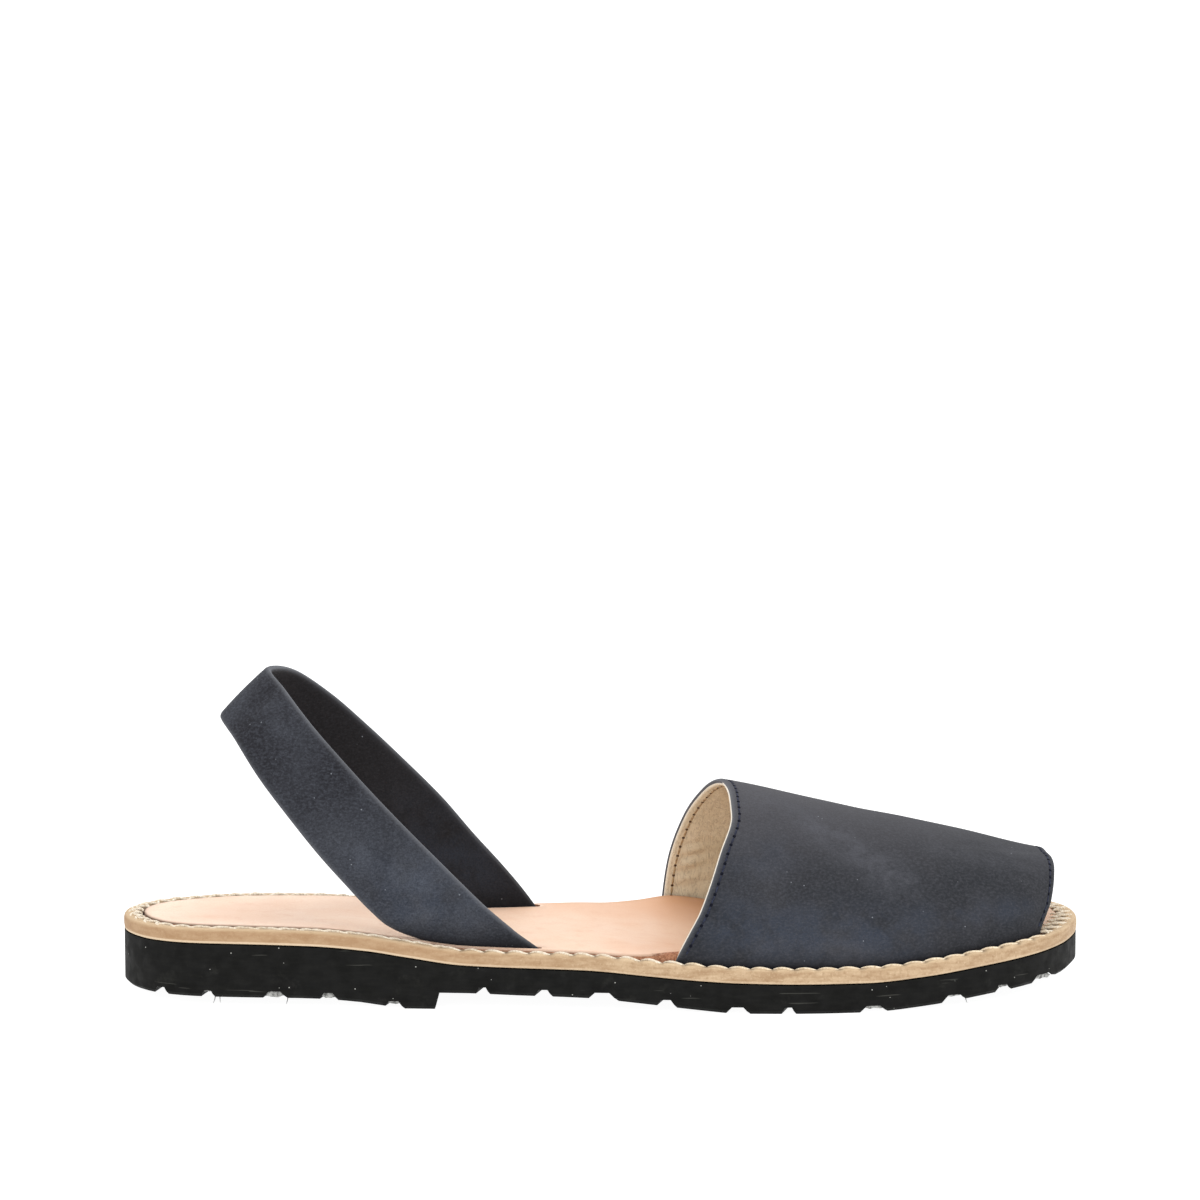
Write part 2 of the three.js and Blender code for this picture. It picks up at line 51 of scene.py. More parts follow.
THROAT_RISE = 1.6
INSOLE_LEAN = 0.17
VAMP_WALL = 1.8
INSTEP_HEIGHT = 44
TOE_OPENING_HEIGHT = 19
STRAP_THICKNESS = 2
STRAP_WIDTH = 22
STRAP_RISE = 66.5
SLOT_FROM_EDGE = 8.5
SEAM = 0.3
GROOVE_DEPTH = 1.9
GROOVE_WIDTH = 5.5
CHANNEL_RUN_BACK = 7
CHANNEL_RUN_FRONT = 3

OUTLINE = {
    "at": [0, 0.011, 0.034, 0.07, 0.12, 0.2, 0.3, 0.4, 0.5, 0.6, 0.7, 0.77, 0.83, 0.89, 0.94, 0.975, 0.992, 1],
    "lateral": [0, 0.145, 0.24, 0.3, 0.33, 0.352, 0.385, 0.423, 0.467, 0.508, 0.527, 0.511, 0.474, 0.398, 0.297,
                0.165, 0.04, -0.1],
    "medial": [0, 0.13, 0.205, 0.26, 0.302, 0.325, 0.345, 0.375, 0.415, 0.453, 0.473, 0.472, 0.465, 0.447, 0.415,
               0.355, 0.265, 0.1],
}
PROFILE = {
    "at": [0, 0.1, 0.19, 0.25, 0.288, 0.35, 0.4, 0.47, 0.54, 0.59, 0.63, 0.7, 0.76, 0.82, 0.88, 0.94, 1],
    "seat": [0.98, 1, 0.95, 0.82, 0.66, 0.43, 0.385, 0.35, 0.2, 0.09, 0.03, 0, 0, 0, 0, 0, 0],
    "spring": [0, 0, 0, 0, 0, 0, 0, 0, 0, 0, 0, 0, 0, 0.2, 0.5, 0.76, 1],
}
INSOLE_EDGE = {
    "at": [0, 0.18, 0.3, 0.42, 0.5, 0.54, 0.58, 0.66, 0.85, 1],
    "medial": [0, 0.05, 0.6, 1, 1.25, 2.1, 3.3, 1.9, 0, 0],
    "lateral": [0, 0, 0, 0, 0, 0.5, 1.6, 1, 0, 0],
}
VAMP_CROWN = {
    "at": [0.54, 0.632, 0.72, 0.8, 0.88, 0.95, 0.98],
    "rise": [1.1, 1, 0.79, 0.57, 0.29, 0.03, -0.05],
    "side": [0.01, 0.01, 0.02, 0.035, 0.055, 0.08, 0.09],
    "square": [2.1, 2.15, 2.25, 2.35, 2.5, 2.7, 2.8],
}
VAMP_EDGES = {
    "round": [0, 0.05, 0.1, 0.22, 0.34, 0.43, 0.5, 0.66, 0.78, 0.9, 1],
    "throat": [0.565, 0.5795, 0.593, 0.6135, 0.629, 0.6295, 0.627, 0.609, 0.59, 0.574, 0.567],
    "toe": [0.953, 0.961, 0.9665, 0.971, 0.9727, 0.9717, 0.969, 0.9675, 0.967, 0.962, 0.956],
}
STRAP = {
    "x": [0.374, 0.348, 0.3215, 0.299, 0.267, 0.233, 0.201, 0.169, 0.143, 0.128, 0.153, 0.19, 0.229, 0.266, 0.3,
          0.33, 0.353, 0.37, 0.384],
    "up": [0, 0.056, 0.13, 0.215, 0.347, 0.493, 0.641, 0.794, 0.93, 1, 0.965, 0.845, 0.69, 0.536, 0.388, 0.235,
           0.13, 0.056, 0],
    "out": [-1, -1, -1, -0.99, -0.97, -0.93, -0.86, -0.72, -0.42, 0.03, 0.45, 0.72, 0.87, 0.95, 0.98, 1, 1, 1, 1],
    "broad": [1.31, 1.31, 1.24, 1.15, 1.06, 1.02, 0.98, 0.94, 0.89, 0.86, 0.89, 0.93, 0.97, 1, 1.04, 1.1, 1.19,
              1.27, 1.31],
    "slant": [-3, 3, 12, 21, 33, 40, 44, 46, 46, 45, 45.5, 46, 45.5, 43, 38, 29, 17, 6, -3],
    "foot": [1, 0.9, 0.7, 0.5, 0.3, 0.15, 0, 0, 0, 0, 0, 0, 0, 0.1, 0.25, 0.45, 0.7, 0.9, 1],
}

MM = 0.001
rng = np.random.default_rng(11)


def as_turn(share):
    return np.arccos(1 - 2 * np.clip(share, 0, 1)) / math.pi


def from_turn(turn):
    return (1 - np.cos(math.pi * np.asarray(turn, float))) / 2


def mix(a, b, share):
    return a + (b - a) * share


def smooth(value, low, high):
    t = np.clip((np.asarray(value, float) - low) / (high - low), 0, 1)
    return t * t * (3 - 2 * t)


def curve(table, name, key="at", turned=False):
    """A smooth curve through one column of a table, which never swings past its rows."""
    along = np.array(table[key], float)
    along = as_turn(along) if turned else along
    value = np.array(table[name], float)
    rate = np.diff(value) / np.diff(along)
    product = rate[:-1] * rate[1:]
    total = rate[:-1] + rate[1:]
    inner = np.where(product > 0, 2 * product / np.where(product > 0, total, 1), 0)
    slope = np.concatenate([rate[:1], inner, rate[-1:]])

    def read(share):
        spot = np.clip(as_turn(share) if turned else np.asarray(share, float), along[0], along[-1])
        i = np.clip(np.searchsorted(along, spot) - 1, 0, len(along) - 2)
        span = along[i + 1] - along[i]
        t = (spot - along[i]) / span
        ease = t * t * (3 - 2 * t)
        leave = t * (1 - t) ** 2 * span * slope[i]
        arrive = t * t * (1 - t) * span * slope[i + 1]
        return mix(value[i], value[i + 1], ease) + leave - arrive

    return read


lateral_share = curve(OUTLINE, "lateral", turned=True)
medial_share = curve(OUTLINE, "medial", turned=True)
seat_share = curve(PROFILE, "seat")
spring_share = curve(PROFILE, "spring")
lateral_turn_up = curve(INSOLE_EDGE, "lateral")
medial_turn_up = curve(INSOLE_EDGE, "medial")


def rubber_top(x):
    at = x / SOLE_LENGTH
    return mix(BALL_HEIGHT, SEAT_HEIGHT, seat_share(at)) + TOE_SPRING * spring_share(at)


def midsole_floor(x):
    return rubber_top(x) + SEAM


def rim_top(x):
    return midsole_floor(x) + MIDSOLE_THICKNESS


def inlay_floor(x):
    return rim_top(x) - INLAY_DEPTH


def insole_floor(x):
    return inlay_floor(x) + SEAM


def insole_top(x):
    return insole_floor(x) + INSOLE_THICKNESS


def sole_ring(stations):
    """The sole's edge: the heel's back, the lateral side, the tip, then the medial side."""
    at = from_turn(np.arange(stations + 1) / stations)
    lateral = np.stack([at * SOLE_LENGTH, -lateral_share(at) * BALL_WIDTH], 1)
    medial = np.stack([at * SOLE_LENGTH, medial_share(at) * BALL_WIDTH], 1)
    return np.concatenate([lateral, medial[1:-1][::-1]])


def unit(vectors):
    return vectors / np.linalg.norm(vectors, axis=-1, keepdims=True)


def bell(value, middle, width):
    return np.exp(-((value - middle) / width) ** 2)


def inward(ring):
    ahead = np.roll(ring, -1, 0) - np.roll(ring, 1, 0)
    return unit(np.stack([-ahead[:, 1], ahead[:, 0]], 1))


def inset(ring, distance):
    return ring + inward(ring) * np.reshape(distance * np.ones(len(ring)), (-1, 1))


coarse_ring = sole_ring(64)
SHIFT = np.array([-SOLE_LENGTH / 2, -(coarse_ring[:, 1].min() + coarse_ring[:, 1].max()) / 2, 0])
SIDE_STATIONS = 520
edge = sole_ring(SIDE_STATIONS)


def distance_to(points, ring, block=4000):
    """How far each point is, seen from above, from the nearest point of a ring."""
    out = np.empty(len(points))
    for start in range(0, len(points), block):
        part = points[start:start + block, None, :2] - ring[None, :, :]
        out[start:start + block] = np.sqrt((part ** 2).sum(2).min(1))
    return out


def rounded_by(radius, depth):
    """How far a rounded edge lies below its face, at so much depth from the edge."""
    return radius - np.sqrt(np.maximum(0, radius ** 2 - np.maximum(0, radius - depth) ** 2))


# Meshes.


def grid_faces(rows, columns, wrap_rows=False, wrap_columns=False):
    r = np.arange(rows if wrap_rows else rows - 1)
    c = np.arange(columns if wrap_columns else columns - 1)
    r, c = [a.ravel() for a in np.meshgrid(r, c, indexing="ij")]
    r2, c2 = (r + 1) % rows, (c + 1) % columns
    return np.stack([r * columns + c, r2 * columns + c, r2 * columns + c2, r * columns + c2], 1)


def add_piece(name, points, faces, materials, face_material=None, attributes=None):
    """A smooth mesh from points in millimetres in the shoe's own frame."""
    mesh = bpy.data.meshes.new(name)
    place = (np.asarray(points, float).reshape(-1, 3) + SHIFT) * MM
    mesh.from_pydata(place.tolist(), [], [list(map(int, f)) for f in faces])
    for material in materials:
        mesh.materials.append(material)
    if face_material is not None:
        mesh.polygons.foreach_set("material_index", np.asarray(face_material, np.int32))
    mesh.polygons.foreach_set("use_smooth", np.ones(len(mesh.polygons), bool))
    for key, values in (attributes or {}).items():
        layer = mesh.attributes.new(key, "FLOAT", "POINT")
        layer.data.foreach_set("value", np.asarray(values, np.float32).ravel())
    mesh.validate()
    mesh.update()
    piece = bpy.data.objects.new(name, mesh)
    bpy.context.scene.collection.objects.link(piece)
    return piece


def settle(piece, slot, *nodes):
    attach(piece, "root")
    if nodes:
        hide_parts(*nodes)


def tube_faces(rings, sides):
    """The faces of a tube with closed ends."""
    last = (rings - 1) * sides
    ends = [list(range(sides)), list(range(last, last + sides))[::-1]]
    return grid_faces(rings, sides, wrap_columns=True).tolist() + ends


def repeated(faces, count, size):
    """The same faces for each of several parts of a mesh, with so many points each."""
    return [[v + k * size for v in f] for k in range(count) for f in faces]


def tubes(paths, radii, sides=8):
    """Closed tubes joined in one mesh. paths is tubes x points x 3, radii is tubes x points."""
    paths, radii = np.array(paths), np.array(radii)
    count, steps, _ = paths.shape
    ahead = np.gradient(paths, axis=1)
    ahead /= np.linalg.norm(ahead, axis=2, keepdims=True) + 1e-12
    up = np.zeros_like(ahead)
    up[..., 2] = 1
    side = np.cross(ahead, up)
    side /= np.linalg.norm(side, axis=2, keepdims=True) + 1e-9
    over = np.cross(side, ahead)
    angle = np.arange(sides) * 2 * math.pi / sides
    ring = side[:, :, None] * np.cos(angle)[:, None] + over[:, :, None] * np.sin(angle)[:, None]
    points = paths[:, :, None] + ring * radii[:, :, None, None]
    return points, repeated(tube_faces(steps, sides), count, steps * sides)


# Materials.


def srgb(r, g, b):
    def linear(v):
        v /= 255
        return v / 12.92 if v <= 0.04045 else ((v + 0.055) / 1.055) ** 2.4
    return (linear(r), linear(g), linear(b), 1)


class Look:
    """A node material with short calls for its nodes. Grain sizes and depths are in millimetres."""

    def __init__(self, name, roughness, **sockets):
        self.material = bpy.data.materials.new(name)
        self.material.use_nodes = True
        self.tree = self.material.node_tree
        self.shader = self.tree.nodes["Principled BSDF"]
        self.shader.inputs["Roughness"].default_value = roughness
        for socket, value in sockets.items():
            self.shader.inputs[socket.replace("_", " ")].default_value = value
        self.place = self.tree.nodes.new("ShaderNodeTexCoord").outputs["Object"]
        self.base = None

    def node(self, kind, output, inputs, **settings):
        """Adds a node, fed with plain values or other nodes' outputs, and gives one of its outputs."""
        made = self.tree.nodes.new(kind)
        for key, value in settings.items():
            setattr(made, key, value)
        for key, value in inputs.items():
            if isinstance(value, (int, float, tuple)):
                made.inputs[key].default_value = value
            else:
                self.tree.links.new(value, made.inputs[key])
        return made.outputs[output]

    def stretched(self, x=1, y=1, z=1, turn=(0, 0, 0)):
        return self.node("ShaderNodeMapping", "Vector", {"Vector": self.place, "Scale": (x, y, z), "Rotation": turn})

    def noise(self, size, detail=3, rough=0.5, place=None, distortion=0):
        inputs = {"Vector": place or self.place, "Scale": 1 / (size * MM), "Detail": detail, "Roughness": rough,
                  "Distortion": distortion}
        return self.node("ShaderNodeTexNoise", "Fac", inputs)

    def cells(self, size):
        return self.node("ShaderNodeTexVoronoi", "Distance", {"Vector": self.place, "Scale": 1 / (size * MM)})

    def band(self, source, low, high, from_value=0.0, to_value=1.0):
        inputs = {"Value": source, "From Min": low, "From Max": high, "To Min": from_value, "To Max": to_value}
        return self.node("ShaderNodeMapRange", "Result", inputs, interpolation_type="SMOOTHSTEP")

    def math(self, operation, a, b):
        return self.node("ShaderNodeMath", 0, {0: a, 1: b}, operation=operation)

    def times(self, a, b):
        return self.math("MULTIPLY", a, b)

    def colour(self, factor, a, b):
        """A mix of two colours, each a value or another node's output."""
        return self.node("ShaderNodeMix", 2, {0: factor, 6: a, 7: b}, data_type="RGBA")

    def start(self, factor, light, dark):
        """The base colour goes from light to dark with the factor."""
        self.base = self.colour(factor, srgb(*light), srgb(*dark))

    def over(self, tone, factor, strength=None):
        """Lays a tone over the base colour, as far as the factor says, or the factor times a strength."""
        if strength is not None:
            factor = self.times(factor, strength)
        self.base = self.colour(factor, self.base, srgb(*tone))

    def attribute(self, name):
        return self.node("ShaderNodeAttribute", "Fac", {}, attribute_name=name)

    def height(self):
        """Height above the floor in metres."""
        return self.node("ShaderNodeSeparateXYZ", "Z", {0: self.place})

    def bumps(self, *layers):
        """Bumps laid on one another, each with its source, depth and strength."""
        inputs = {}
        for source, depth, strength in layers:
            inputs.update({"Distance": depth * MM, "Strength": strength, "Height": source})
            inputs["Normal"] = self.node("ShaderNodeBump", "Normal", inputs)
        return inputs["Normal"]

    def finish(self, normal=None, roughness=None):
        for key, source in (("Base Color", self.base), ("Normal", normal), ("Roughness", roughness)):
            if source is not None:
                self.tree.links.new(source, self.shader.inputs[key])
        return self.material

    def finish_two_tone(self, grain, low, high, light, dark, depth, strength):
        """One grain gives both the two colours and the relief."""
        self.start(self.band(grain, low, high), light, dark)
        return self.finish(self.bumps((grain, depth, strength)))


def scaled(tone, share):
    return tuple(v * share for v in tone)


def nubuck(name, top, low, cloud, bottom_mm, top_mm):
    """Brushed leather whose colour goes from low to top between two heights; on the vamp the lighter top is painted
    light from above.
    """
    painted_light_navy, dust_grey, fuzz_and_highlight_grey, foot_shade = (56, 63, 76), (150, 155, 162), (116, 118, 123), (14, 14, 18)
    look = Look(name, 0.95, Sheen_Weight=0.08, Sheen_Roughness=0.5, Specular_IOR_Level=0.12)
    look.shader.inputs["Sheen Tint"].default_value = srgb(200, 200, 205)
    lift = look.band(look.height(), bottom_mm * MM, top_mm * MM)
    look.start(lift, low, top)
    look.over(cloud, look.band(look.noise(26, 2, 0.55, distortion=0.6), 0.46, 0.74), 0.55)
    look.over(scaled(top, 0.72), look.band(look.noise(14, 3, 0.6), 0.35, 0.7, 0.0, 0.32))
    wisps = look.band(look.noise(6, 5, 0.62, distortion=0.4), 0.25, 0.68)
    # Pale clouds from the listed patches; on the vamp those low above the lateral foot are a painted highlight.
    look.over(scaled(cloud, 1.22), look.times(look.attribute("cloud"), wisps), 0.75)
    # Painted cool light: a lighter, bluer navy low on the vamp and strap.
    painted_cool_light = look.times(look.attribute("painted_cool_light"), look.band(look.noise(9, 4, 0.6), 0.3, 0.62))
    look.over(painted_light_navy, painted_cool_light, 0.7)
    nap = look.noise(0.9, 5, 0.65, look.stretched(z=1.6))
    look.over(scaled(cloud, 1.3), look.band(nap, 0.36, 0.76, 0.0, 0.42))
    look.over(scaled(top, 0.6), look.band(look.noise(0.45, 3, 0.7), 0.3, 0.62, 0.4, 0.0))
    specks = look.band(look.cells(3.1), 0.045, 0.075, 1.0, 0.0)
    rare = look.band(look.noise(7, 1), 0.55, 0.6)
    look.over(dust_grey, look.times(specks, rare), 0.6)
    # Pale fuzz along the edges, partly a painted edge highlight.
    look.over(fuzz_and_highlight_grey, look.attribute("fuzz"), 0.62)
    look.over(foot_shade, look.attribute("shade"), 0.8)
    return look.finish(look.bumps((look.noise(0.35, 3, 0.7), 0.05, 0.5), (look.noise(1.6, 4, 0.6), 0.10, 0.55)))


# The vamp gets lighter towards its top: painted light from above.
vamp_nubuck = nubuck("vamp_nubuck", (76, 75, 79), (39, 41, 45), (65, 66, 71), 32, 58)
strap_nubuck = nubuck("strap_nubuck", (31, 30, 34), (60, 62, 68), (70, 73, 80), 28, 86)
strap_inside = nubuck("strap_inside", (34, 33, 35), (34, 34, 36), (44, 44, 47), 26, 70)


def insole_look():
    tan_mottle_and_shade, rough, pores, depth = (224, 178, 148), 0.55, 0.5, 0.04
    look = Look("insole_leather", rough, Specular_IOR_Level=0.3)
    wide = look.band(look.noise(38, 3, 0.55), 0.35, 0.68)
    look.start(wide, (248, 223, 202), (241, 209, 186))
    look.over(tan_mottle_and_shade, look.band(look.noise(5, 4, 0.62), 0.5, 0.75, 0.0, 0.35))
    look.over(tan_mottle_and_shade, look.band(look.noise(pores, 3, 0.6), 0.4, 0.7, 0.0, 0.3))
    # A warmer tone towards the front, partly painted shade under the vamp and where the insole turns up.
    look.over((214, 164, 127), look.attribute("warm_tone_and_shade"))
    # Painted shade: along the insole's edge, under the vamp and round the strap slots.
    look.over(scaled(tan_mottle_and_shade, 0.66), look.attribute("tan_mottle_and_shade"), 0.8)
    # Painted shade of the gap between the insole's edge and the rim.
    look.over((96, 70, 52), look.attribute("painted_edge_shade"))
    fuzz = look.noise(0.8, 5, 0.72)
    torn = look.band(look.math("ADD", look.attribute("raw"), look.times(fuzz, 0.5)), 0.68, 0.86)
    fibre = look.colour(look.band(fuzz, 0.38, 0.62), srgb(208, 150, 118), srgb(140, 88, 62))
    look.base = look.colour(torn, look.base, fibre)
    normal = look.bumps((look.cells(pores * 1.7), depth, 0.35), (look.noise(pores * 6, 3), depth * 2, 0.4),
                        (look.times(torn, fuzz), 0.5, 0.9))
    shine = look.band(look.noise(9, 3), 0.3, 0.7, rough - 0.08, rough + 0.1)
    return look.finish(normal, shine)


def rim_look():
    look = Look("midsole_leather", 0.7, Specular_IOR_Level=0.25)
    grain = look.noise(2.4, 5, 0.62, look.stretched(0.35, 0.35, 1.5))
    look.start(look.band(grain, 0.32, 0.7), (198, 171, 138), (168, 137, 104))
    look.over((150, 116, 82), look.band(look.noise(1.1, 4, 0.65), 0.48, 0.72, 0.0, 0.5))
    look.over((226, 204, 172), look.band(look.noise(0.6, 4, 0.7), 0.5, 0.72, 0.0, 0.35))
    # A darker heel, a pale cut edge, a lighter top, and painted shade in the dips between stitches and down the gap
    # to the insole.
    for part, strength, tone in (("heel", 0.5, (162, 124, 88)), ("cut", 0.6, (236, 216, 186)),
                                 ("top", 0.6, (212, 188, 154)), ("rim_gap_shade", 0.92, (66, 46, 34))):
        look.over(tone, look.attribute(part), strength)
    return look.finish(look.bumps((grain, 0.12, 0.5), (look.noise(0.5, 3, 0.6), 0.06, 0.5)))


def rubber_look():
    look = Look("sole_rubber", 0.8, Specular_IOR_Level=0.16)
    streaks = look.noise(1.2, 4, 0.6, look.stretched(0.22, 0.22, 1.3))
    look.start(look.band(streaks, 0.35, 0.7), (11, 11, 10), (17, 17, 15))
    look.over((62, 62, 58), look.band(look.noise(6, 5, 0.7), 0.56, 0.72, 0.0, 0.16))
    specks = look.band(look.cells(3.3), 0.035, 0.06, 1.0, 0.0)
    look.over((176, 176, 170), specks, look.band(look.noise(11, 1), 0.38, 0.45))
    scratches = look.noise(2.2, 2, 0.5, look.stretched(0.12, 0.12, 2.4, (0, 0.2, 0)))
    look.over((96, 96, 90), look.band(scratches, 0.71, 0.73, 0.0, 0.3))
    normal = look.bumps((streaks, 0.05, 0.4), (look.noise(0.4, 3, 0.6), 0.04, 0.45))
    shine = look.band(look.noise(4, 3), 0.3, 0.7, 0.62, 0.82)
    return look.finish(normal, shine)


def thread(name, light, dark, twist=0.9):
    look = Look(name, 0.75, Specular_IOR_Level=0.3)
    fibre = look.noise(twist, 3, 0.6, look.stretched(1.6, 1, 1, (0.3, 0.2, 0.8)))
    return look.finish_two_tone(fibre, 0.35, 0.68, light, dark, 0.12, 0.6)


def lining_look():
    look = Look("vamp_lining", 0.62, Specular_IOR_Level=0.3)
    look.start(look.band(look.noise(16, 3), 0.35, 0.7), (230, 219, 192), (216, 204, 174))
    look.over((182, 166, 138), look.band(look.noise(1.3, 4, 0.6), 0.45, 0.72, 0.0, 0.35))
    # Darker lines along the creases: painted crease shade.
    creases = look.noise(4.5, 5, 0.62, look.stretched(1.6, 1, 0.45), 1.6)
    line = look.times(look.band(creases, 0.47, 0.5), look.band(creases, 0.5, 0.53, 1.0, 0.0))
    look.over((128, 108, 82), line, 0.35)
    look.over((236, 228, 214), look.attribute("fuzz"))
    pores, pits = look.cells(0.9), look.noise(3.2, 4, 0.6, distortion=1.2)
    return look.finish(look.bumps((pores, 0.06, 0.5), (pits, 0.35, 0.7)))


def raw_look():
    look = Look("raw_leather", 0.95, Sheen_Weight=0.3, Specular_IOR_Level=0.1)
    return look.finish_two_tone(look.noise(0.7, 5, 0.7), 0.35, 0.65, (206, 150, 118), (150, 98, 70), 0.35, 0.8)


def film_look():
    look = Look("grey_groove_sheet", 0.5, Specular_IOR_Level=0.4)
    return look.finish_two_tone(look.noise(0.9, 4, 0.6), 0.36, 0.64, (84, 84, 82), (176, 176, 173), 0.15, 0.5)


# Dark beads at the needle holes: painted shade of the holes.
def hole_shade_look():
    look = Look("stitch_hole_shade", 0.9, Specular_IOR_Level=0.1)
    look.start(look.noise(0.4, 2), (10, 12, 20), (22, 25, 38))
    return look.finish(look.bumps((look.noise(0.3, 2), 0.03, 1.0)))


insole_leather = insole_look()
midsole_leather = rim_look()
sole_rubber = rubber_look()
grey_film = film_look()
cream_thread = thread("rim_thread", (240, 230, 212), (208, 190, 164))
tan_thread = thread("sunk_rim_thread", (244, 228, 202), (216, 194, 162))
navy_thread = thread("upper_thread", (44, 50, 72), (18, 20, 32), 0.5)
lining_thread = thread("lining_thread", (190, 166, 130), (142, 114, 82), 0.5)
lining_hole_shade = thread("lining_needle_hole_shade", (104, 80, 58), (62, 46, 34), 0.5)
lining_leather = lining_look()
raw_edge = raw_look()
hole_shade = hole_shade_look()


def take_modifiers(piece):
    """Makes what the modifiers shape the piece's own mesh."""
    shaped = piece.evaluated_get(bpy.context.evaluated_depsgraph_get())
    mesh = bpy.data.meshes.new_from_object(shaped)
    piece.modifiers.clear()
    piece.data = mesh
    return mesh


# The outsole: the solid's own form, smooth but for its sharp edges.


def make_outsole():
    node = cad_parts["outsole"]
    piece = bpy.data.objects.new("rubber_outsole", node.data.copy())
    bpy.context.scene.collection.objects.link(piece)
    piece.data.materials.clear()
    piece.data.materials.append(sole_rubber)
    piece.modifiers.new("weld", "WELD").merge_threshold = 1e-6
    mesh = take_modifiers(piece)
    if mesh.has_custom_normals:
        bpy.context.view_layer.objects.active = piece
        with bpy.context.temp_override(object=piece, active_object=piece):
            bpy.ops.mesh.customdata_custom_splitnormals_clear()
    mesh.polygons.foreach_set("use_smooth", np.ones(len(mesh.polygons), bool))
    mesh.set_sharp_from_angle(angle=math.radians(40))
    settle(piece, "sole_rubber", "outsole")


# The midsole: its side wall, rim and inlay are one ring of sections.


def make_midsole():
    x = edge[:, 0]
    throat = min(VAMP_EDGES["throat"][0], VAMP_EDGES["throat"][-1]) * SOLE_LENGTH
    toe = max(VAMP_EDGES["toe"][0], VAMP_EDGES["toe"][-1]) * SOLE_LENGTH
    opened = np.clip((x - throat) / CHANNEL_RUN_BACK + 2, 0, 1) * np.clip((toe - x) / CHANNEL_RUN_FRONT + 2, 0, 1)
    inner = RIM_WIDTH - (VAMP_WALL + SEAM) * opened
    low, top = midsole_floor(x), rim_top(x)
    scallop, pinch_shade = rim_scallop()
    rows, marks = [], {"cut": [], "rim_gap_shade": [], "top": []}

    def ring(out, height, cut=0.0, rim_gap_shade=0.0, upper=0.0):
        rows.append(np.concatenate([inset(edge, out), np.reshape(height, (-1, 1))], 1))
        for key, value in (("cut", cut), ("rim_gap_shade", rim_gap_shade), ("top", upper)):
            marks[key].append(value * np.ones(len(edge)))

    ring(1.2, low, 1)
    ring(0.35, low, 1)
    ring(0.08, low + 0.12, 1)
    ring(0.0, low + 0.35, 1)
    ring(-0.03, low + 0.62, 0.8)
    ring(-0.04, low + 0.8, 0.0)
    for share in (0.32, 0.45, 0.6, 0.72):
        ring(-0.14 * math.sin(math.pi * share), mix(low, top, share))
    ring(-0.02, top - 0.75)
    # The shade marks paint shade into the dips between stitches and down the inner wall to the insole.
    ring(0.06, top - 0.42 + scallop * 0.15, 0, pinch_shade * 0.1, 0.3)
    ring(0.3, top - 0.13 + scallop * 0.45, 0, pinch_shade * 0.4, 0.8)
    ring(0.7, top + 0.02 + scallop * 0.7, 0, pinch_shade * 0.75, 1)
    ring(np.minimum(1.3, inner * 0.42), top + 0.05 + scallop * 0.9, 0, pinch_shade * 0.9, 1)
    ring(inner * 0.5, top - 0.02 + scallop * 0.9, 0, np.maximum(pinch_shade, 0.1), 1)
    ring(inner * 0.62, top - 0.2 + scallop * 0.3, 0, 0.45, 1)
    ring(inner * 0.74, top - 0.26 + scallop * 0.2, 0, 0.6, 1)
    ring(inner * 0.88, top - 0.3, 0, 0.85, 1)
    ring(inner - 0.12, top - 0.4, 0, 1, 1)
    ring(inner, top - 0.65, 0, 1, 1)
    ring(inner, inlay_floor(x), 0, 1, 1)
    levels, count = len(rows), len(edge)
    faces = grid_faces(levels, count, wrap_columns=True)[:, ::-1].tolist()
    for start, turn in ((0, -1), ((levels - 1) * count, 1)):
        for i in range(count // 2):
            corners = [start + i, start + i + 1, start + count - i - 1, start + (count - i) % count]
            faces.append(list(dict.fromkeys(corners))[::turn])
    marks = {key: np.concatenate(values) for key, values in marks.items()}
    marks["cut"] *= np.tile(1 - 0.6 * smooth(x, 60, 140), levels)
    marks["heel"] = np.tile(1 - smooth(x, 70, 150), levels)
    piece = add_piece("leather_midsole", np.concatenate(rows), faces, [midsole_leather], None, marks)
    settle(piece, "midsole_leather", "midsole")


# The whip-stitch: thick cream thread round the rim.

WHIP_PITCH = 6.1
WHIP_RISE = 0.34
WHIP_RADIUS = 0.5
RETURN_RADIUS = 0.42
SCALLOP = 0.09
# Where the rim goes under the vamp and comes out at the toe, from heel to toe.
VAMP_BEGINS = (145, 158)
VAMP_ENDS = (251, 256)
TOE_BEGINS = (251, 257)

edge_along = np.concatenate([[0], np.cumsum(np.linalg.norm(np.roll(edge, -1, 0) - edge, axis=1))])
EDGE_LENGTH = edge_along[-1]
WHIP_COUNT = int(round(EDGE_LENGTH / WHIP_PITCH))
whip_step = EDGE_LENGTH / WHIP_COUNT


def rim_scallop():
    """The rim's leather stands up a little under each stitch and is drawn down between them; the second value paints
    shade into those dips.
    """
    wave = np.cos(edge_along[:-1] / whip_step * 2 * math.pi)
    x = edge[:, 0]
    lateral = edge_along[:-1] < EDGE_LENGTH / 2
    stitched = np.where(lateral, smooth(x, 80, 98), smooth(x, *VAMP_BEGINS)) * (1 - smooth(x, 249, 254))
    return -SCALLOP * wave * stitched, (0.5 + 0.5 * wave) ** 5 * stitched


def rim_point(along, out, height):
    """Points at places along the edge, so far in from it, and so far above the rim."""
    along = np.mod(along, EDGE_LENGTH)

    def at_edge(values):
        closed = np.concatenate([values, values[:1]])
        return np.stack([np.interp(along, edge_along, closed[:, k]) for k in (0, 1)], -1)

    place = at_edge(edge)
    flat = place + at_edge(inward(edge)) * np.asarray(out)[..., None]
    return np.concatenate([flat, (rim_top(place[..., 0]) + height)[..., None]], -1)


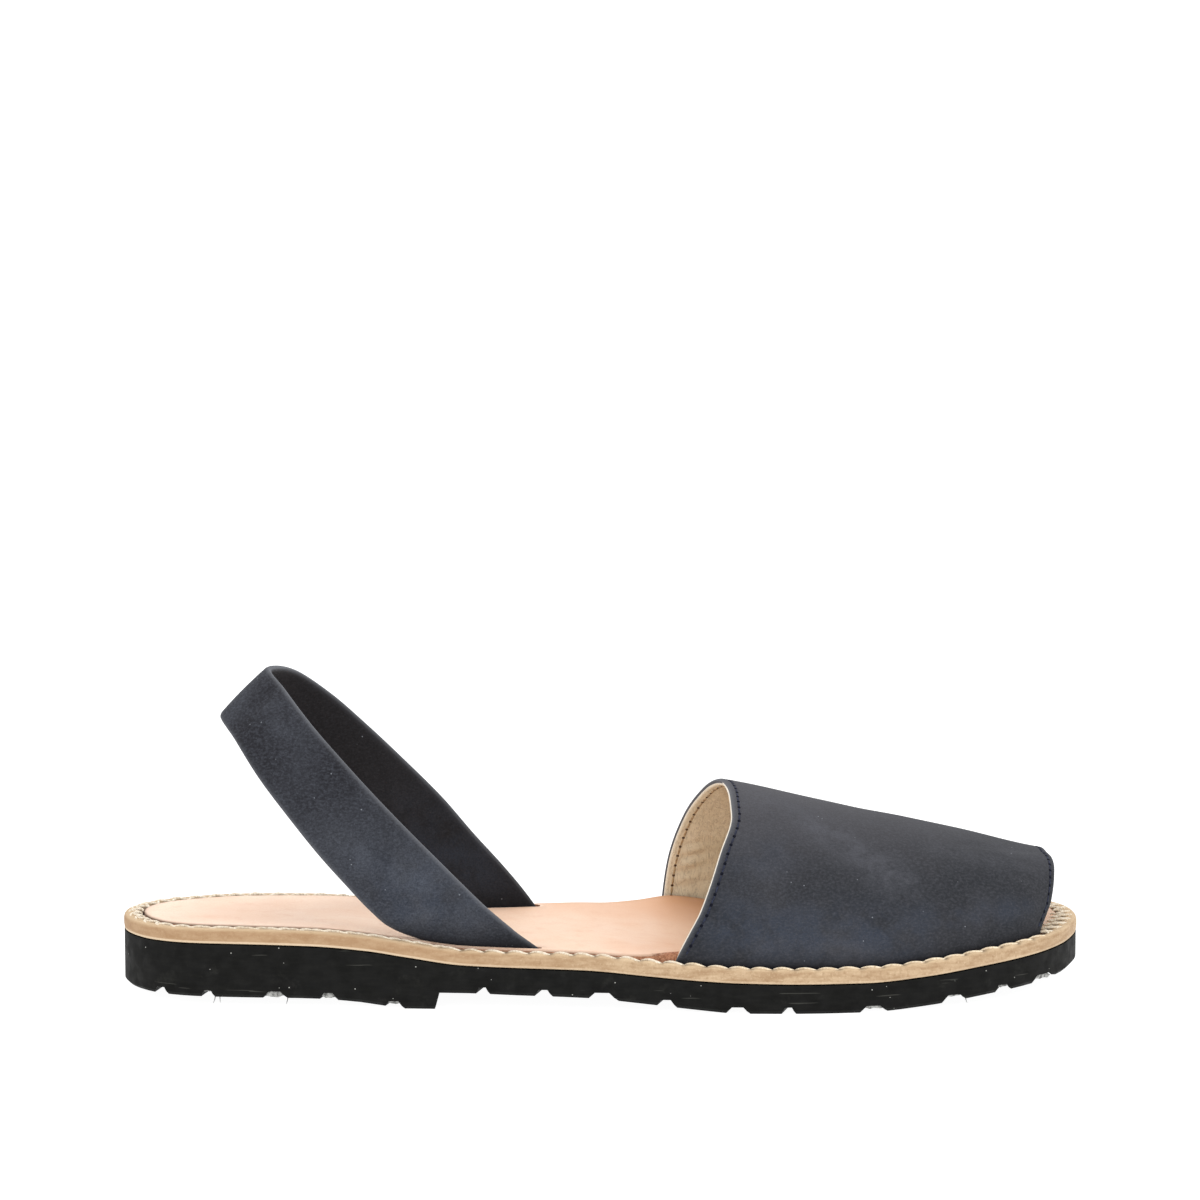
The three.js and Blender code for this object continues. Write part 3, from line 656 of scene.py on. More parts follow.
def make_whip_stitch():
    t = np.linspace(0, 1, 11)
    over = np.sin(math.pi * t) ** 0.8
    paths, radii, looks = [], [], []

    def strand(start, reach, out, rise, radius, look):
        paths.append(rim_point(start + t * whip_step * reach, out, rise * over - 0.5 * (1 - over) - 0.12))
        radii.append(radius)
        looks.append(look)

    for i in range(WHIP_COUNT):
        start = i * whip_step + rng.uniform(-0.25, 0.25)
        x = float(rim_point(start, 0, 0)[0])
        lateral = np.mod(start, EDGE_LENGTH) < EDGE_LENGTH / 2
        low_side = 0.3 + 0.6 * smooth(x, 80, 120) if lateral else 0.8
        low_side = mix(1.0, low_side, smooth(x, 0, 9))
        under_vamp = smooth(x, *VAMP_BEGINS) * (1 - smooth(x, *VAMP_ENDS))
        arched = smooth(x, 72, 92) * (1 - smooth(x, 145, 150)) if lateral else 0.0
        at_toe = smooth(x, *TOE_BEGINS)
        inner = mix(mix(4.7, 7.0 if lateral else 5.9, at_toe), 2.75, under_vamp)
        inner = mix(inner, 3.6, arched)
        at_end = max(float(1 - smooth(x, 14, 40)), float(at_toe))
        outer = mix(mix(mix(2.2, 1.35, at_end), 0.85, arched), 0.95, under_vamp)
        rise = (WHIP_RISE + rng.uniform(-0.05, 0.05)) * mix(low_side, 0.85, max(under_vamp, float(arched)))
        thick = WHIP_RADIUS - 0.05 * at_end - 0.1 * (1 - float(low_side)) - 0.07 * under_vamp
        radius = (thick + rng.uniform(-0.04, 0.04)) * (0.4 + 0.6 * over)
        strand(start, 1.12, mix(inner, outer, smooth(t, 0.05, 0.8)), rise, radius, int(under_vamp > 0.5))
        if under_vamp < 0.5 and arched < 0.5:
            back = mix(outer + 0.3, inner + 0.1, smooth(t, 0.1, 0.9))
            strand(start + whip_step * 0.42, 0.95, back, rise * 0.5, RETURN_RADIUS * (0.45 + 0.55 * over), 0)
    points, faces = tubes(paths, radii)
    kinds = np.repeat(looks, len(faces) // len(looks))
    piece = add_piece("rim_whip_stitch", points, faces, [cream_thread, tan_thread], kinds)
    settle(piece, "midsole_leather")


# The insole: one sheet with rounded edges and two slots.


def strap_feet():
    """Each slot's middle, half length and angle, seen from above."""
    feet = []
    for index, side, sign in ((0, lateral_share, -1), (-1, medial_share, 1)):
        at = STRAP["x"][index]
        half = STRAP["broad"][index] * STRAP_WIDTH / 2
        reach = half / SOLE_LENGTH

        def y(share):
            return side(share) * BALL_WIDTH - SLOT_FROM_EDGE

        splay = (y(at + reach) - y(at - reach)) / (2 * half)
        feet.append({"x": at * SOLE_LENGTH, "y": float(sign * y(at)), "half": half,
                     "angle": float(sign * math.atan(splay))})
    return feet


feet = strap_feet()

INSOLE_EDGE_RADIUS = 0.55
SEAT_DISH = 0.45
SLOT_ROOM = 0.25
# Places between which the raw wear at the throat begins, and between which the painted shade and warm tone fade out
# at the toe.
THROAT_WEAR = (128, 156)
TOE_SHADE_FADE = (236, 252)


def make_insole():
    lean = INSOLE_LEAN * ARCH_RISE * medial_turn_up(edge[:, 0] / SOLE_LENGTH)
    ring = inset(edge, RIM_WIDTH + SEAM + lean)[::2]
    half = len(ring) // 2
    even = np.linspace(0, 1, 73)
    share = from_turn(even) * 0.5 + even * 0.5
    near = ring[: half + 1]
    far = np.concatenate([ring[:1], ring[half:][::-1]])[: half + 1]
    flat = near[:, None] * (1 - share)[None, :, None] + far[:, None] * share[None, :, None]
    x, y = flat[..., 0], flat[..., 1]
    at = x / SOLE_LENGTH
    s = np.broadcast_to(share, x.shape)
    turn_up = ARCH_RISE * medial_turn_up(at) * np.clip(1 - (1 - s) / 0.5, 0, 1) ** 2
    turn_up = turn_up + THROAT_RISE * lateral_turn_up(at) * np.clip(1 - s / 0.33, 0, 1) ** 2
    depth = distance_to(flat.reshape(-1, 2), ring).reshape(x.shape)
    rounding = rounded_by(INSOLE_EDGE_RADIUS, depth)
    wave = 0.10 * np.sin(x / 17.0 + 1.3) * np.sin(y / 13.0) + 0.06 * np.sin(x / 6.1 + y / 9.0)
    wave = wave * smooth(depth, 1, 8)
    seat = SEAT_DISH * np.exp(-((x - 38) / 26) ** 2 - (y / 18) ** 2)
    top = insole_top(x) + turn_up - rounding + wave - seat * smooth(depth, 2, 10)
    sheets = [np.concatenate([flat, z[..., None]], -1).reshape(-1, 3) for z in (top, insole_floor(x))]
    rows, cols = x.shape
    n = rows * cols
    faces = grid_faces(rows, cols)
    all_faces = faces.tolist() + (faces[:, ::-1] + n).tolist()
    kind = [0] * (2 * len(faces))
    index = np.arange(n).reshape(rows, cols)
    for line in (index[:, 0][::-1], index[:, -1]):
        for a, b in zip(line[:-1], line[1:]):
            all_faces.append([a, b, b + n, a + n])
            kind.append(1)
    before_toe = 1 - smooth(x, *TOE_SHADE_FADE)
    # Painted shade on the insole: along its edge where it meets the rim, under the vamp from the throat on, less at
    # the toe, and a painted contact shadow round each strap slot.
    painted_insole_shade = np.exp(-depth / 0.7) * 0.55 + 0.1 * smooth(x, 138, 158)
    painted_insole_shade = (painted_insole_shade + 0.4 * smooth(x, 160, 190)) * (0.15 + 0.85 * before_toe)
    for foot in feet:
        away = np.hypot(np.maximum(0, np.abs(x - foot["x"]) - foot["half"]), y - foot["y"])
        painted_insole_shade = painted_insole_shade + (0.75 if foot["y"] < 0 else 0.3) * np.exp(-away / 1.2)
    # A warmer tone towards the front, partly painted shade under the vamp and where the insole turns up.
    warm_tone_and_shade = 0.26 * smooth(x, 40, 115) + 0.34 * smooth(x, 128, 172) + 0.12 * turn_up
    at_throat = smooth(x, *THROAT_WEAR)
    raw = 0.75 * at_throat * (1 - smooth(x, 172, 182)) * (1 - smooth(depth, mix(0.4, 2.2, at_throat), 4.4))
    layers = {"tan_mottle_and_shade": painted_insole_shade, "warm_tone_and_shade": warm_tone_and_shade * (0.2 + 0.8 * before_toe), "raw": raw * (s < 0.5),
              # Painted shade of the gap between the insole's edge and the rim, at the very edge.
              "painted_edge_shade": np.exp(-depth / 0.3) * (1 - 0.8 * smooth(x, 50, 110))}
    layers = {key: np.concatenate([v.ravel(), v.ravel()]) for key, v in layers.items()}
    piece = add_piece("leather_insole", np.concatenate(sheets), all_faces, [insole_leather, raw_edge], kind, layers)
    cut_slots(piece)
    settle(piece, "insole_leather", "insole")


def slot_cutter():
    """Two upright prisms that open the insole for the strap's ends, a little longer than the strap."""
    corners = 24
    half_wide = STRAP_THICKNESS / 2 + SLOT_ROOM
    points, faces = [], []
    for foot in feet:
        ahead = np.array([math.cos(foot["angle"]), math.sin(foot["angle"])])
        across = np.array([-ahead[1], ahead[0]])
        z = float(insole_top(foot["x"]))
        front_room = 0.8 if foot["y"] < 0 else 0.1
        outline = []
        for a in np.arange(corners) * 2 * math.pi / corners:
            room = front_room if math.cos(a) > 0 else 0.4
            long = math.copysign(foot["half"] + room - half_wide, math.cos(a)) + half_wide * math.cos(a)
            outline.append(np.array([foot["x"], foot["y"]]) + ahead * long + across * half_wide * math.sin(a))
        start = len(points)
        points.extend([[p[0], p[1], height] for height in (z - 6, z + 9) for p in outline])
        low = [start + k for k in range(corners)]
        high = [k + corners for k in low]
        for k in range(corners):
            n = (k + 1) % corners
            faces.append([low[k], low[n], high[n], high[k]])
        faces += [low[::-1], high]
    return add_piece("slot_cutter", points, faces, [raw_edge])


def cut_slots(piece):
    cutter = slot_cutter()
    piece.modifiers.new("weld", "WELD").merge_threshold = 2e-6
    cut = piece.modifiers.new("slots", "BOOLEAN")
    cut.object = cutter
    cut.operation = "DIFFERENCE"
    cut.solver = "EXACT"
    cut.material_mode = "TRANSFER"
    take_modifiers(piece).set_sharp_from_angle(angle=math.radians(50))
    bpy.data.objects.remove(cutter)


# The vamp.


def sides_of(ring, last_x):
    half = len(ring) // 2

    def reader(line):
        def y(x):
            return np.interp(x, line[:, 0], line[:, 1])
        slope = (y(last_x) - y(last_x - VAMP_WALL)) / VAMP_WALL
        return lambda x: np.where(x <= last_x, y(x), y(last_x) + (x - last_x) * slope)

    return reader(ring[: half + 1]), reader(np.concatenate([ring[:1], ring[half:][::-1]]))


class VampForm:
    def __init__(self):
        self.throat = curve(VAMP_EDGES, "throat", "round")
        self.toe = curve(VAMP_EDGES, "toe", "round")
        self.rise = curve(VAMP_CROWN, "rise")
        self.side = curve(VAMP_CROWN, "side")
        self.square = curve(VAMP_CROWN, "square")
        last_foot = min(VAMP_EDGES["toe"][0], VAMP_EDGES["toe"][-1]) * SOLE_LENGTH
        self.lateral, self.medial = sides_of(inset(edge, RIM_WIDTH - VAMP_WALL), last_foot)

    def point(self, along, turn):
        """A point of the outer face, at shares from throat to toe and from the lateral foot to the medial."""
        x = mix(self.throat(turn), self.toe(turn), along) * SOLE_LENGTH
        at = x / SOLE_LENGTH
        crown_y = self.side(at) * BALL_WIDTH
        foot_y = np.where(turn < 0.5, self.lateral(x), self.medial(x))
        power = 2 / self.square(at)
        out = np.abs(np.cos(math.pi * turn)) ** power
        up = np.abs(np.sin(math.pi * turn)) ** power
        crown = mix(TOE_OPENING_HEIGHT, INSTEP_HEIGHT, self.rise(at))
        return np.stack([x, mix(crown_y, foot_y, out), rim_top(x) + crown * up], -1)

    def normal(self, along, turn, step=1e-3):
        a0, a1 = np.clip(along - step, 0, 1), np.clip(along + step, 0, 1)
        t0, t1 = np.clip(turn - step * 4, 1e-5, 1 - 1e-5), np.clip(turn + step * 4, 1e-5, 1 - 1e-5)
        across = self.point(along, t1) - self.point(along, t0)
        ahead = self.point(a1, turn) - self.point(a0, turn)
        return unit(np.cross(ahead, across))


form = VampForm()

# Soft troughs (positive) and ridges (negative) of the vamp: from and to (share of the sole's length, share round),
# depth and half width in millimetres.
VAMP_CREASES = [
    ((0.66, 0.06), (0.93, 0.075), -0.45, 4.0),
    ((0.84, 0.16), (0.93, 0.25), 0.35, 5.0),
    ((0.70, 0.30), (0.78, 0.40), 0.30, 8.0),
    ((0.88, 0.40), (0.955, 0.47), 0.25, 3.5),
    ((0.62, 0.66), (0.70, 0.74), 0.30, 6.0),
    ((0.80, 0.80), (0.93, 0.88), 0.35, 6.0),
]
ROUND_LENGTH = 128


def gap_to_line(x, turn, start, end):
    """How far a place on the unrolled vamp is from a line between two (share of the length, share round) places."""
    px, py = x, turn * ROUND_LENGTH
    a = np.array(start) * (SOLE_LENGTH, ROUND_LENGTH)
    d = np.array(end) * (SOLE_LENGTH, ROUND_LENGTH) - a
    t = np.clip(((px - a[0]) * d[0] + (py - a[1]) * d[1]) / (d @ d), 0, 1)
    return np.hypot(px - a[0] - t * d[0], py - a[1] - t * d[1])


def vamp_relief(x, turn):
    """How far the creases move the face along its outward normal."""
    return -sum(depth * bell(gap_to_line(x, turn, start, end), 0, width) for start, end, depth, width in VAMP_CREASES)


# Pale clouds on the vamp, and patches of painted cool light low on its sides: from, to (share of the length, share
# round), width in mm, strength.
# The pale clouds low above the lateral foot are a painted highlight; the others are random pale tone.
VAMP_CLOUDS = [
    ((0.715, 0.36), (0.80, 0.20), 6.5, 1.0),
    ((0.76, 0.30), (0.775, 0.22), 6.0, 0.7),
    ((0.64, 0.42), (0.70, 0.40), 8.0, 0.5),
    ((0.66, 0.09), (0.74, 0.08), 5.0, 0.45),
    ((0.655, 0.04), (0.765, 0.03), 3.6, 1.0),
    ((0.86, 0.34), (0.93, 0.30), 5.0, 0.35),
    ((0.63, 0.27), (0.66, 0.18), 4.5, 0.35),
    ((0.70, 0.62), (0.82, 0.74), 7.0, 0.6),
    ((0.66, 0.86), (0.76, 0.88), 6.0, 0.4),
]
# Patches of painted cool light low on the vamp's sides.
VAMP_PAINTED_LIGHT = [
    ((0.62, 0.07), (0.80, 0.06), 8.0, 1.0),
    ((0.80, 0.09), (0.92, 0.10), 6.0, 0.7),
    ((0.64, 0.20), (0.67, 0.24), 7.0, 0.4),
    ((0.62, 0.92), (0.88, 0.92), 8.0, 0.8),
]


def vamp_patches(x, turn, patches):
    return np.max([strength * bell(gap_to_line(x, turn, start, end), 0, width)
                   for start, end, width, strength in patches], 0)


STITCH_INSET = 2.0
TOE_STITCH_INSET = 1.7
STITCH_PITCH = 3.1
TOE_STITCH_PITCH = 2.7
STITCH_GROOVE = 0.22
EDGE_RADIUS = 0.85
TYPICAL_RUN = 92
LINING_PROUD = {"lateral": 0.3, "medial": -0.35}


def make_vamp():
    turns = np.concatenate([[0], np.linspace(0, 1, 221), [1]])
    near_edge = np.array([0, 0.06, 0.2, 0.45, 0.85, 1.2, 1.6, 2.0, 2.4, 2.9, 3.6])
    first = np.concatenate([near_edge, np.linspace(4.6, 44, 50)]) / TYPICAL_RUN
    share = np.unique(np.concatenate([first, 1 - first, np.linspace(first[-1], 1 - first[-1], 12)]))
    a, t = np.meshgrid(share, np.clip(turns, 1e-4, 1 - 1e-4), indexing="ij")
    point = form.point(a, t)
    normal = form.normal(a, t)
    x = point[..., 0]
    run = np.linalg.norm(form.point(np.ones_like(turns), turns) - form.point(np.zeros_like(turns), turns), axis=-1)
    from_throat, from_toe = a * run, (1 - a) * run
    nearest = np.minimum(from_throat, from_toe)
    pull = rounded_by(EDGE_RADIUS, nearest)
    groove = STITCH_GROOVE * bell(from_throat, STITCH_INSET, 0.5)
    groove = groove + STITCH_GROOVE * bell(from_toe, TOE_STITCH_INSET, 0.45)
    puff = 0.10 * bell(from_throat, 1.1, 0.5) + 0.08 * bell(from_throat, 3.1, 0.7)
    relief = vamp_relief(x, t) * smooth(nearest, 0, 6)
    foot_fade = smooth(t, 0, 0.03) * smooth(1 - t, 0, 0.03)
    outer = point + normal * ((relief + puff - groove) * foot_fade - pull)[..., None]
    low_medial = smooth(t, 0.80, 0.9) * (1 - smooth(t, 0.985, 1.0))
    arc = t * ROUND_LENGTH
    gathers = np.sin(arc * 1.5 + 1.6 * np.sin(x * 0.35)) * (0.6 + 0.4 * np.sin(x * 0.5 + arc * 0.2))
    wrinkle = 0.5 * low_medial * gathers + 0.12 * np.sin(x * 0.8 + 2 * np.sin(arc * 0.11)) * smooth(t, 0.1, 0.3)
    wrinkle *= smooth(nearest, 2.4, 5) * foot_fade
    inner = point - normal * (VAMP_WALL - pull + (wrinkle - relief) * 0.6)[..., None]
    ahead = unit(np.gradient(point, axis=0))
    proud = mix(LINING_PROUD["lateral"], LINING_PROUD["medial"], smooth(t, 0.44, 0.58))
    proud = proud * (1 - smooth(from_throat, 0.0, 1.6)) * foot_fade
    inner = inner - ahead * proud[..., None]
    rows, cols = a.shape
    for side in (outer, inner):
        for c, beside in ((0, 1), (cols - 1, cols - 2)):
            side[:, c] = side[:, beside]
            side[:, c, 2] = insole_floor(side[:, c, 0])
    faces = grid_faces(2 * rows, cols, wrap_rows=True)
    row, next_row = faces[:, 0] // cols, faces[:, 1] // cols
    lined = ((row >= rows) & (next_row >= rows)) | (row == rows - 1) | (row >= 2 * rows - 2)
    far = t[0, faces[:, 0] % cols] > 0.52
    kinds = (lined & ~(far & (row >= 2 * rows - 2))).astype(int).tolist()
    faces = faces.tolist()
    for c, turn in ((0, -1), (cols - 1, 1)):
        for k in range(rows - 1):
            quad = [k * cols + c, (k + 1) * cols + c, (2 * rows - 2 - k) * cols + c, (2 * rows - 1 - k) * cols + c]
            faces.append(quad[::turn])
            kinds.append(1)
    # Pale fuzz along the outer edges, partly a painted edge highlight.
    edge_fuzz_and_highlight = np.maximum(np.exp(-from_throat / 0.5), 0.35 * np.exp(-from_toe / 0.5))
    fuzz_inner = np.exp(-from_throat / 0.6) * mix(1, 0.8, smooth(t, 0.5, 0.62))
    bare = np.zeros_like(t)
    layers = {
        "fuzz": (edge_fuzz_and_highlight, fuzz_inner),
        "shade": (np.exp(-np.maximum(0, point[..., 2] - rim_top(x)) / 1.1), bare),
        "cloud": (vamp_patches(x, t, VAMP_CLOUDS), bare),
        "painted_cool_light": (vamp_patches(x, t, VAMP_PAINTED_LIGHT), bare),
    }
    layers = {key: np.concatenate([front, back[::-1]]) for key, (front, back) in layers.items()}
    points = np.concatenate([outer, inner[::-1]])
    piece = add_piece("nubuck_vamp", points, faces, [vamp_nubuck, lining_leather], kinds, layers)
    settle(piece, "vamp_nubuck", "vamp")


# The stitches on the vamp.


def seam_line(edge_inset, at_toe, pitch, inner=False):
    """Evenly spaced places on a seam: their middle, direction and outward normal, and the step between them."""
    t = np.linspace(0.012, 0.988, 900)
    zero = np.zeros_like(t)
    run = np.linalg.norm(form.point(zero + 1, t) - form.point(zero, t), axis=-1)
    a = 1 - edge_inset / run if at_toe else edge_inset / run
    along = np.concatenate([[0], np.cumsum(np.linalg.norm(np.diff(form.point(a, t), axis=0), axis=1))])
    count = int(along[-1] / pitch)
    spots = (np.arange(count) + 0.5) * along[-1] / count

    def at(spots):
        return np.interp(spots, along, a), np.interp(spots, along, t)

    middle, normal = form.point(*at(spots)), form.normal(*at(spots))
    ahead = unit(form.point(*at(spots + 0.3)) - form.point(*at(spots - 0.3)))
    if inner:
        middle, normal = middle - normal * VAMP_WALL, -normal
    return middle, ahead, normal, along[-1] / count


def beads(middle, ahead, normal, length, wide, high, lift):
    """Rounded stitches, one at each place, joined in one mesh."""
    rings, sides = 7, 8
    u = np.cos(np.linspace(math.pi, 0, rings))
    shape = np.sqrt(np.maximum(0, 1 - np.abs(u) ** 3)) + 0.02
    angle = np.arange(sides) * 2 * math.pi / sides
    local = np.array([(u[k] * length / 2, shape[k] * wide / 2 * math.cos(s), shape[k] * high / 2 * math.sin(s))
                      for k in range(rings) for s in angle])
    across = np.cross(normal, ahead)
    points = (middle[:, None] + ahead[:, None] * local[None, :, :1] + across[:, None] * local[None, :, 1:2]
              + normal[:, None] * (local[None, :, 2:3] + lift))
    bead = [f[::-1] for f in tube_faces(rings, sides)]
    return points, repeated(bead, len(middle), rings * sides)


def make_seams():
    seams = (
        ("throat_stitches", STITCH_INSET, False, STITCH_PITCH, navy_thread, False),
        ("toe_stitches", TOE_STITCH_INSET, True, TOE_STITCH_PITCH, navy_thread, False),
        ("lining_throat_stitches", STITCH_INSET + 0.4, False, STITCH_PITCH, lining_thread, True),
        ("lining_toe_stitches", TOE_STITCH_INSET, True, TOE_STITCH_PITCH, lining_thread, True),
    )
    for name, depth, at_toe, pitch, look, inner in seams:
        middle, ahead, normal, step = seam_line(depth, at_toe, pitch, inner)
        points, faces = beads(middle, ahead, normal, step * 0.78, 0.55, 0.42, 0.08 if inner else -0.14)
        settle(add_piece(name, points, faces, [look]), "vamp_nubuck")
        # Dark beads halfway between stitches: painted shade of the needle holes.
        size = 0.75 if inner else 0.85
        lift, look = (0.06, lining_hole_shade) if inner else (-0.12, hole_shade)
        points, faces = beads(middle + ahead * step / 2, ahead, normal, size, size * 1.1, 0.3, lift)
        settle(add_piece(name.replace("stitches", "needle_hole_shades"), points, faces, [look]), "vamp_nubuck")


# The heel strap.


class StrapLine:
    """A centripetal curve through the strap's middle points."""

    def __init__(self):
        points = []
        for x, up, out in zip(STRAP["x"], STRAP["up"], STRAP["out"]):
            foot = feet[0 if out < 0 else 1]
            seat = float(insole_top(foot["x"]))
            points.append([x * SOLE_LENGTH, out * abs(foot["y"]), seat + up * STRAP_RISE])
        self.points = np.array(points)
        last = len(points) - 1
        self.rows = {"at": [i / last for i in range(last + 1)], **STRAP}

    def read(self, share):
        p = self.points
        p = np.concatenate([[2 * p[0] - p[1]], p, [2 * p[-1] - p[-2]]])
        last = len(self.points) - 1
        spot = np.clip(np.asarray(share, float), 0, 1) * last
        i = np.minimum(np.floor(spot).astype(int), last - 1)
        w = (spot - i)[:, None]
        p0, p1, p2, p3 = (p[i + k] for k in range(4))

        def gap(a, b):
            return (((b - a) ** 2).sum(1) ** 0.25)[:, None]

        d0, d1, d2 = gap(p0, p1), gap(p1, p2), gap(p2, p3)
        t1 = ((p1 - p0) / d0 - (p2 - p0) / (d0 + d1) + (p2 - p1) / d1) * d1
        t2 = ((p2 - p1) / d1 - (p3 - p1) / (d1 + d2) + (p3 - p2) / d2) * d1
        return p1 + t1 * w + (-3 * p1 + 3 * p2 - 2 * t1 - t2) * w ** 2 + (2 * p1 - 2 * p2 + t1 + t2) * w ** 3


strap_line = StrapLine()

# Soft folds of the strap: place along it, place across it (-1 to 1), half width along, half width across, depth.
STRAP_FOLDS = [
    (0.455, 0.2, 0.010, 0.9, 0.35),
    (0.485, -0.3, 0.009, 0.8, -0.30),
    (0.520, 0.3, 0.011, 0.7, 0.30),
    (0.20, 0.4, 0.035, 0.5, 0.30),
    (0.30, -0.4, 0.030, 0.5, 0.25),
    (0.10, 0.1, 0.030, 0.7, -0.30),
    (0.68, 0.3, 0.030, 0.6, 0.30),
    (0.80, -0.3, 0.030, 0.6, 0.25),
]

# Pale patches of the strap, and patches of painted cool light low near its feet: place along, place across, half
# widths, strength.
STRAP_CLOUDS = [
    (0.19, 0.25, 0.030, 0.50, 1.0),
    (0.25, -0.3, 0.030, 0.40, 0.7),
    (0.12, -0.2, 0.025, 0.50, 0.8),
    (0.085, 0.3, 0.012, 0.50, 0.6),
    (0.42, 0.4, 0.030, 0.50, 0.5),
    (0.75, 0.1, 0.050, 0.60, 0.6),
    (0.56, -0.2, 0.030, 0.60, 0.5),
]
# Patches of painted cool light low near both feet of the strap.
STRAP_PAINTED_LIGHT = [
    (0.14, 0.0, 0.090, 1.20, 0.9),
    (0.86, 0.0, 0.090, 1.20, 0.8),
]

STRAP_EDGE_REACH = 0.75
STRAP_EDGE_THINNER = 0.62


def make_strap():
    share = np.linspace(0, 1, 421)
    across = np.concatenate([[-1], np.linspace(-0.985, 0.985, 27), [1]])
    middle = strap_line.read(share)
    tangent = unit(strap_line.read(np.clip(share + 1e-4, 0, 1)) - strap_line.read(np.clip(share - 1e-4, 0, 1)))
    level = curve(strap_line.rows, "foot")(share) * np.where(share < 0.5, feet[0]["angle"], feet[1]["angle"])
    rise = np.radians(curve(strap_line.rows, "slant")(share))
    breadth = np.stack([np.cos(rise) * np.cos(level), np.cos(rise) * np.sin(level), np.sin(rise)], 1)
    out = unit(np.cross(tangent, breadth))
    half = curve(strap_line.rows, "broad")(share) * STRAP_WIDTH / 2
    u = across[None, :] * half[:, None]
    gap = half[:, None] - np.abs(u)
    at_edge = np.maximum(0, 1 - gap / STRAP_EDGE_REACH)
    thick = STRAP_THICKNESS / 2 - STRAP_EDGE_THINNER * (1 - np.sqrt(np.maximum(0, 1 - at_edge ** 2)))

    def spots(table):
        for place, side, wide, broad, amount in table:
            yield amount * np.exp(-((share[:, None] - place) / wide) ** 2 - ((across[None, :] - side) / broad) ** 2)

    def to_floor(row):
        return np.concatenate([row[:, :2], insole_floor(row[:, :1])], 1)

    def both_faces(amount):
        amount = np.concatenate([amount[:1], amount, amount[-1:]])
        return np.concatenate([amount, amount[:, ::-1]], 1)

    cup = 0.35 * across[None, :] ** 2 * bell(share[:, None], 0.49, 0.2)
    bend = (sum(spots(STRAP_FOLDS)) + cup) * np.sin(math.pi * share)[:, None] ** 0.3
    sides = []
    for offset in (thick + bend, bend - thick):
        face = middle[:, None] + breadth[:, None] * u[..., None] + out[:, None] * offset[..., None]
        sides.append(np.concatenate([[to_floor(face[0])], face, [to_floor(face[-1])]]))
    loop = np.concatenate([sides[0], sides[1][:, ::-1]], 1)
    rows, cols = loop.shape[:2]
    n = cols // 2
    faces = grid_faces(rows, cols, wrap_columns=True).tolist()
    for start, turn in ((0, 1), ((rows - 1) * cols, -1)):
        for k in range(n - 1):
            faces.append([start + k, start + k + 1, start + cols - 2 - k, start + cols - 1 - k][::turn])
    kinds = [int(f[0] % cols < n and f[2] % cols < n) for f in faces]
    above = loop[..., 2] - insole_top(loop[..., 0])
    deep = mix(1.5, 3.2, smooth(loop[..., 0], feet[0]["x"] - 4, feet[0]["x"] + 6))
    layers = {
        # Pale fuzz along the strap's edges, partly a painted edge highlight.
        "fuzz": both_faces(np.exp(-gap / 0.45)),
        "cloud": both_faces(np.max(list(spots(STRAP_CLOUDS)), 0)),
        "painted_cool_light": both_faces(np.max(list(spots(STRAP_PAINTED_LIGHT)), 0)),
        "shade": np.exp(-np.maximum(0, above) / deep),
    }
    piece = add_piece("nubuck_heel_strap", loop, faces, [strap_nubuck, strap_inside], kinds, layers)
    settle(piece, "strap_nubuck", "heel_strap")


# Thin rubber flash that hangs from the lugs: share of the length, side, reach in millimetres.
FLASH = [
    (0.094, -1, 2.2), (0.099, -1, 1.4), (0.158, -1, 1.8), (0.163, -1, 1.1), (0.865, -1, 1.0), (0.30, 1, 1.6),
    (0.12, 1, 1.8), (0.80, 1, 1.4),
]

# Thin grey sheets in some grooves' mouths: share of the length, the groove's width, how far it hangs.
FILMS = [
    (0.038, 0.8, 0.5), (0.086, 0.7, 0.85), (0.155, 1.2, 0.9), (0.21, 0.9, 0.8), (0.277, 1.0, 0.55),
    (0.768, 1.3, 0.6), (0.853, 1.1, 0.4), (0.906, 0.7, 0.5), (0.952, 0.9, 0.9),
]
FILM_SET_BACK = 0.7
FILM_THICKNESS = 0.25
LEAST_HEIGHT = 0.15
FLASH_RADIUS = 0.13

outsole_corners = np.array([v.co[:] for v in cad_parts["outsole"].data.vertices]) / MM - SHIFT


def make_films():
    corner = outsole_corners
    across, down = np.meshgrid(np.linspace(-1, 1, 15), np.linspace(0, 1, 6))
    points, faces = [], []
    for at, wide, hang in FILMS:
        half = wide * GROOVE_WIDTH / 2
        x = at * SOLE_LENGTH
        y_edge = -float(lateral_share(at) * BALL_WIDTH)
        near = corner[(np.abs(corner[:, 0] - x) < half * 1.3) & (np.abs(corner[:, 1] - y_edge) < 4)]
        low = near[:, 2].min()
        roof = near[near[:, 2] < low + GROOVE_DEPTH * 1.5][:, 2].max()
        ragged = 1 + np.interp(across[0], np.linspace(-1, 1, 7), rng.uniform(-0.3, 0.1, 7))
        span = half * mix(0.5, 1.05, down * hang)
        height = roof + 0.1 - (GROOVE_DEPTH + 0.1) * hang * down * ragged * (1 - 0.25 * across ** 2)
        along = x + span * across
        y = FILM_SET_BACK + 0.3 * down - lateral_share(along / SOLE_LENGTH) * BALL_WIDTH
        front = np.stack([along, y, np.maximum(height, LEAST_HEIGHT)], -1)
        film = np.concatenate([front, front[::-1] + [0, FILM_THICKNESS, 0]])
        start = sum(len(p) for p in points)
        rows, columns = film.shape[:2]
        points.append(film.reshape(-1, 3))
        faces += (grid_faces(rows, columns, wrap_rows=True) + start).tolist()
        for c, turn in ((0, -1), (columns - 1, 1)):
            faces.append([start + r * columns + c for r in range(rows)][::turn])
    settle(add_piece("groove_films", np.concatenate(points), faces, [grey_film]), "sole_rubber")


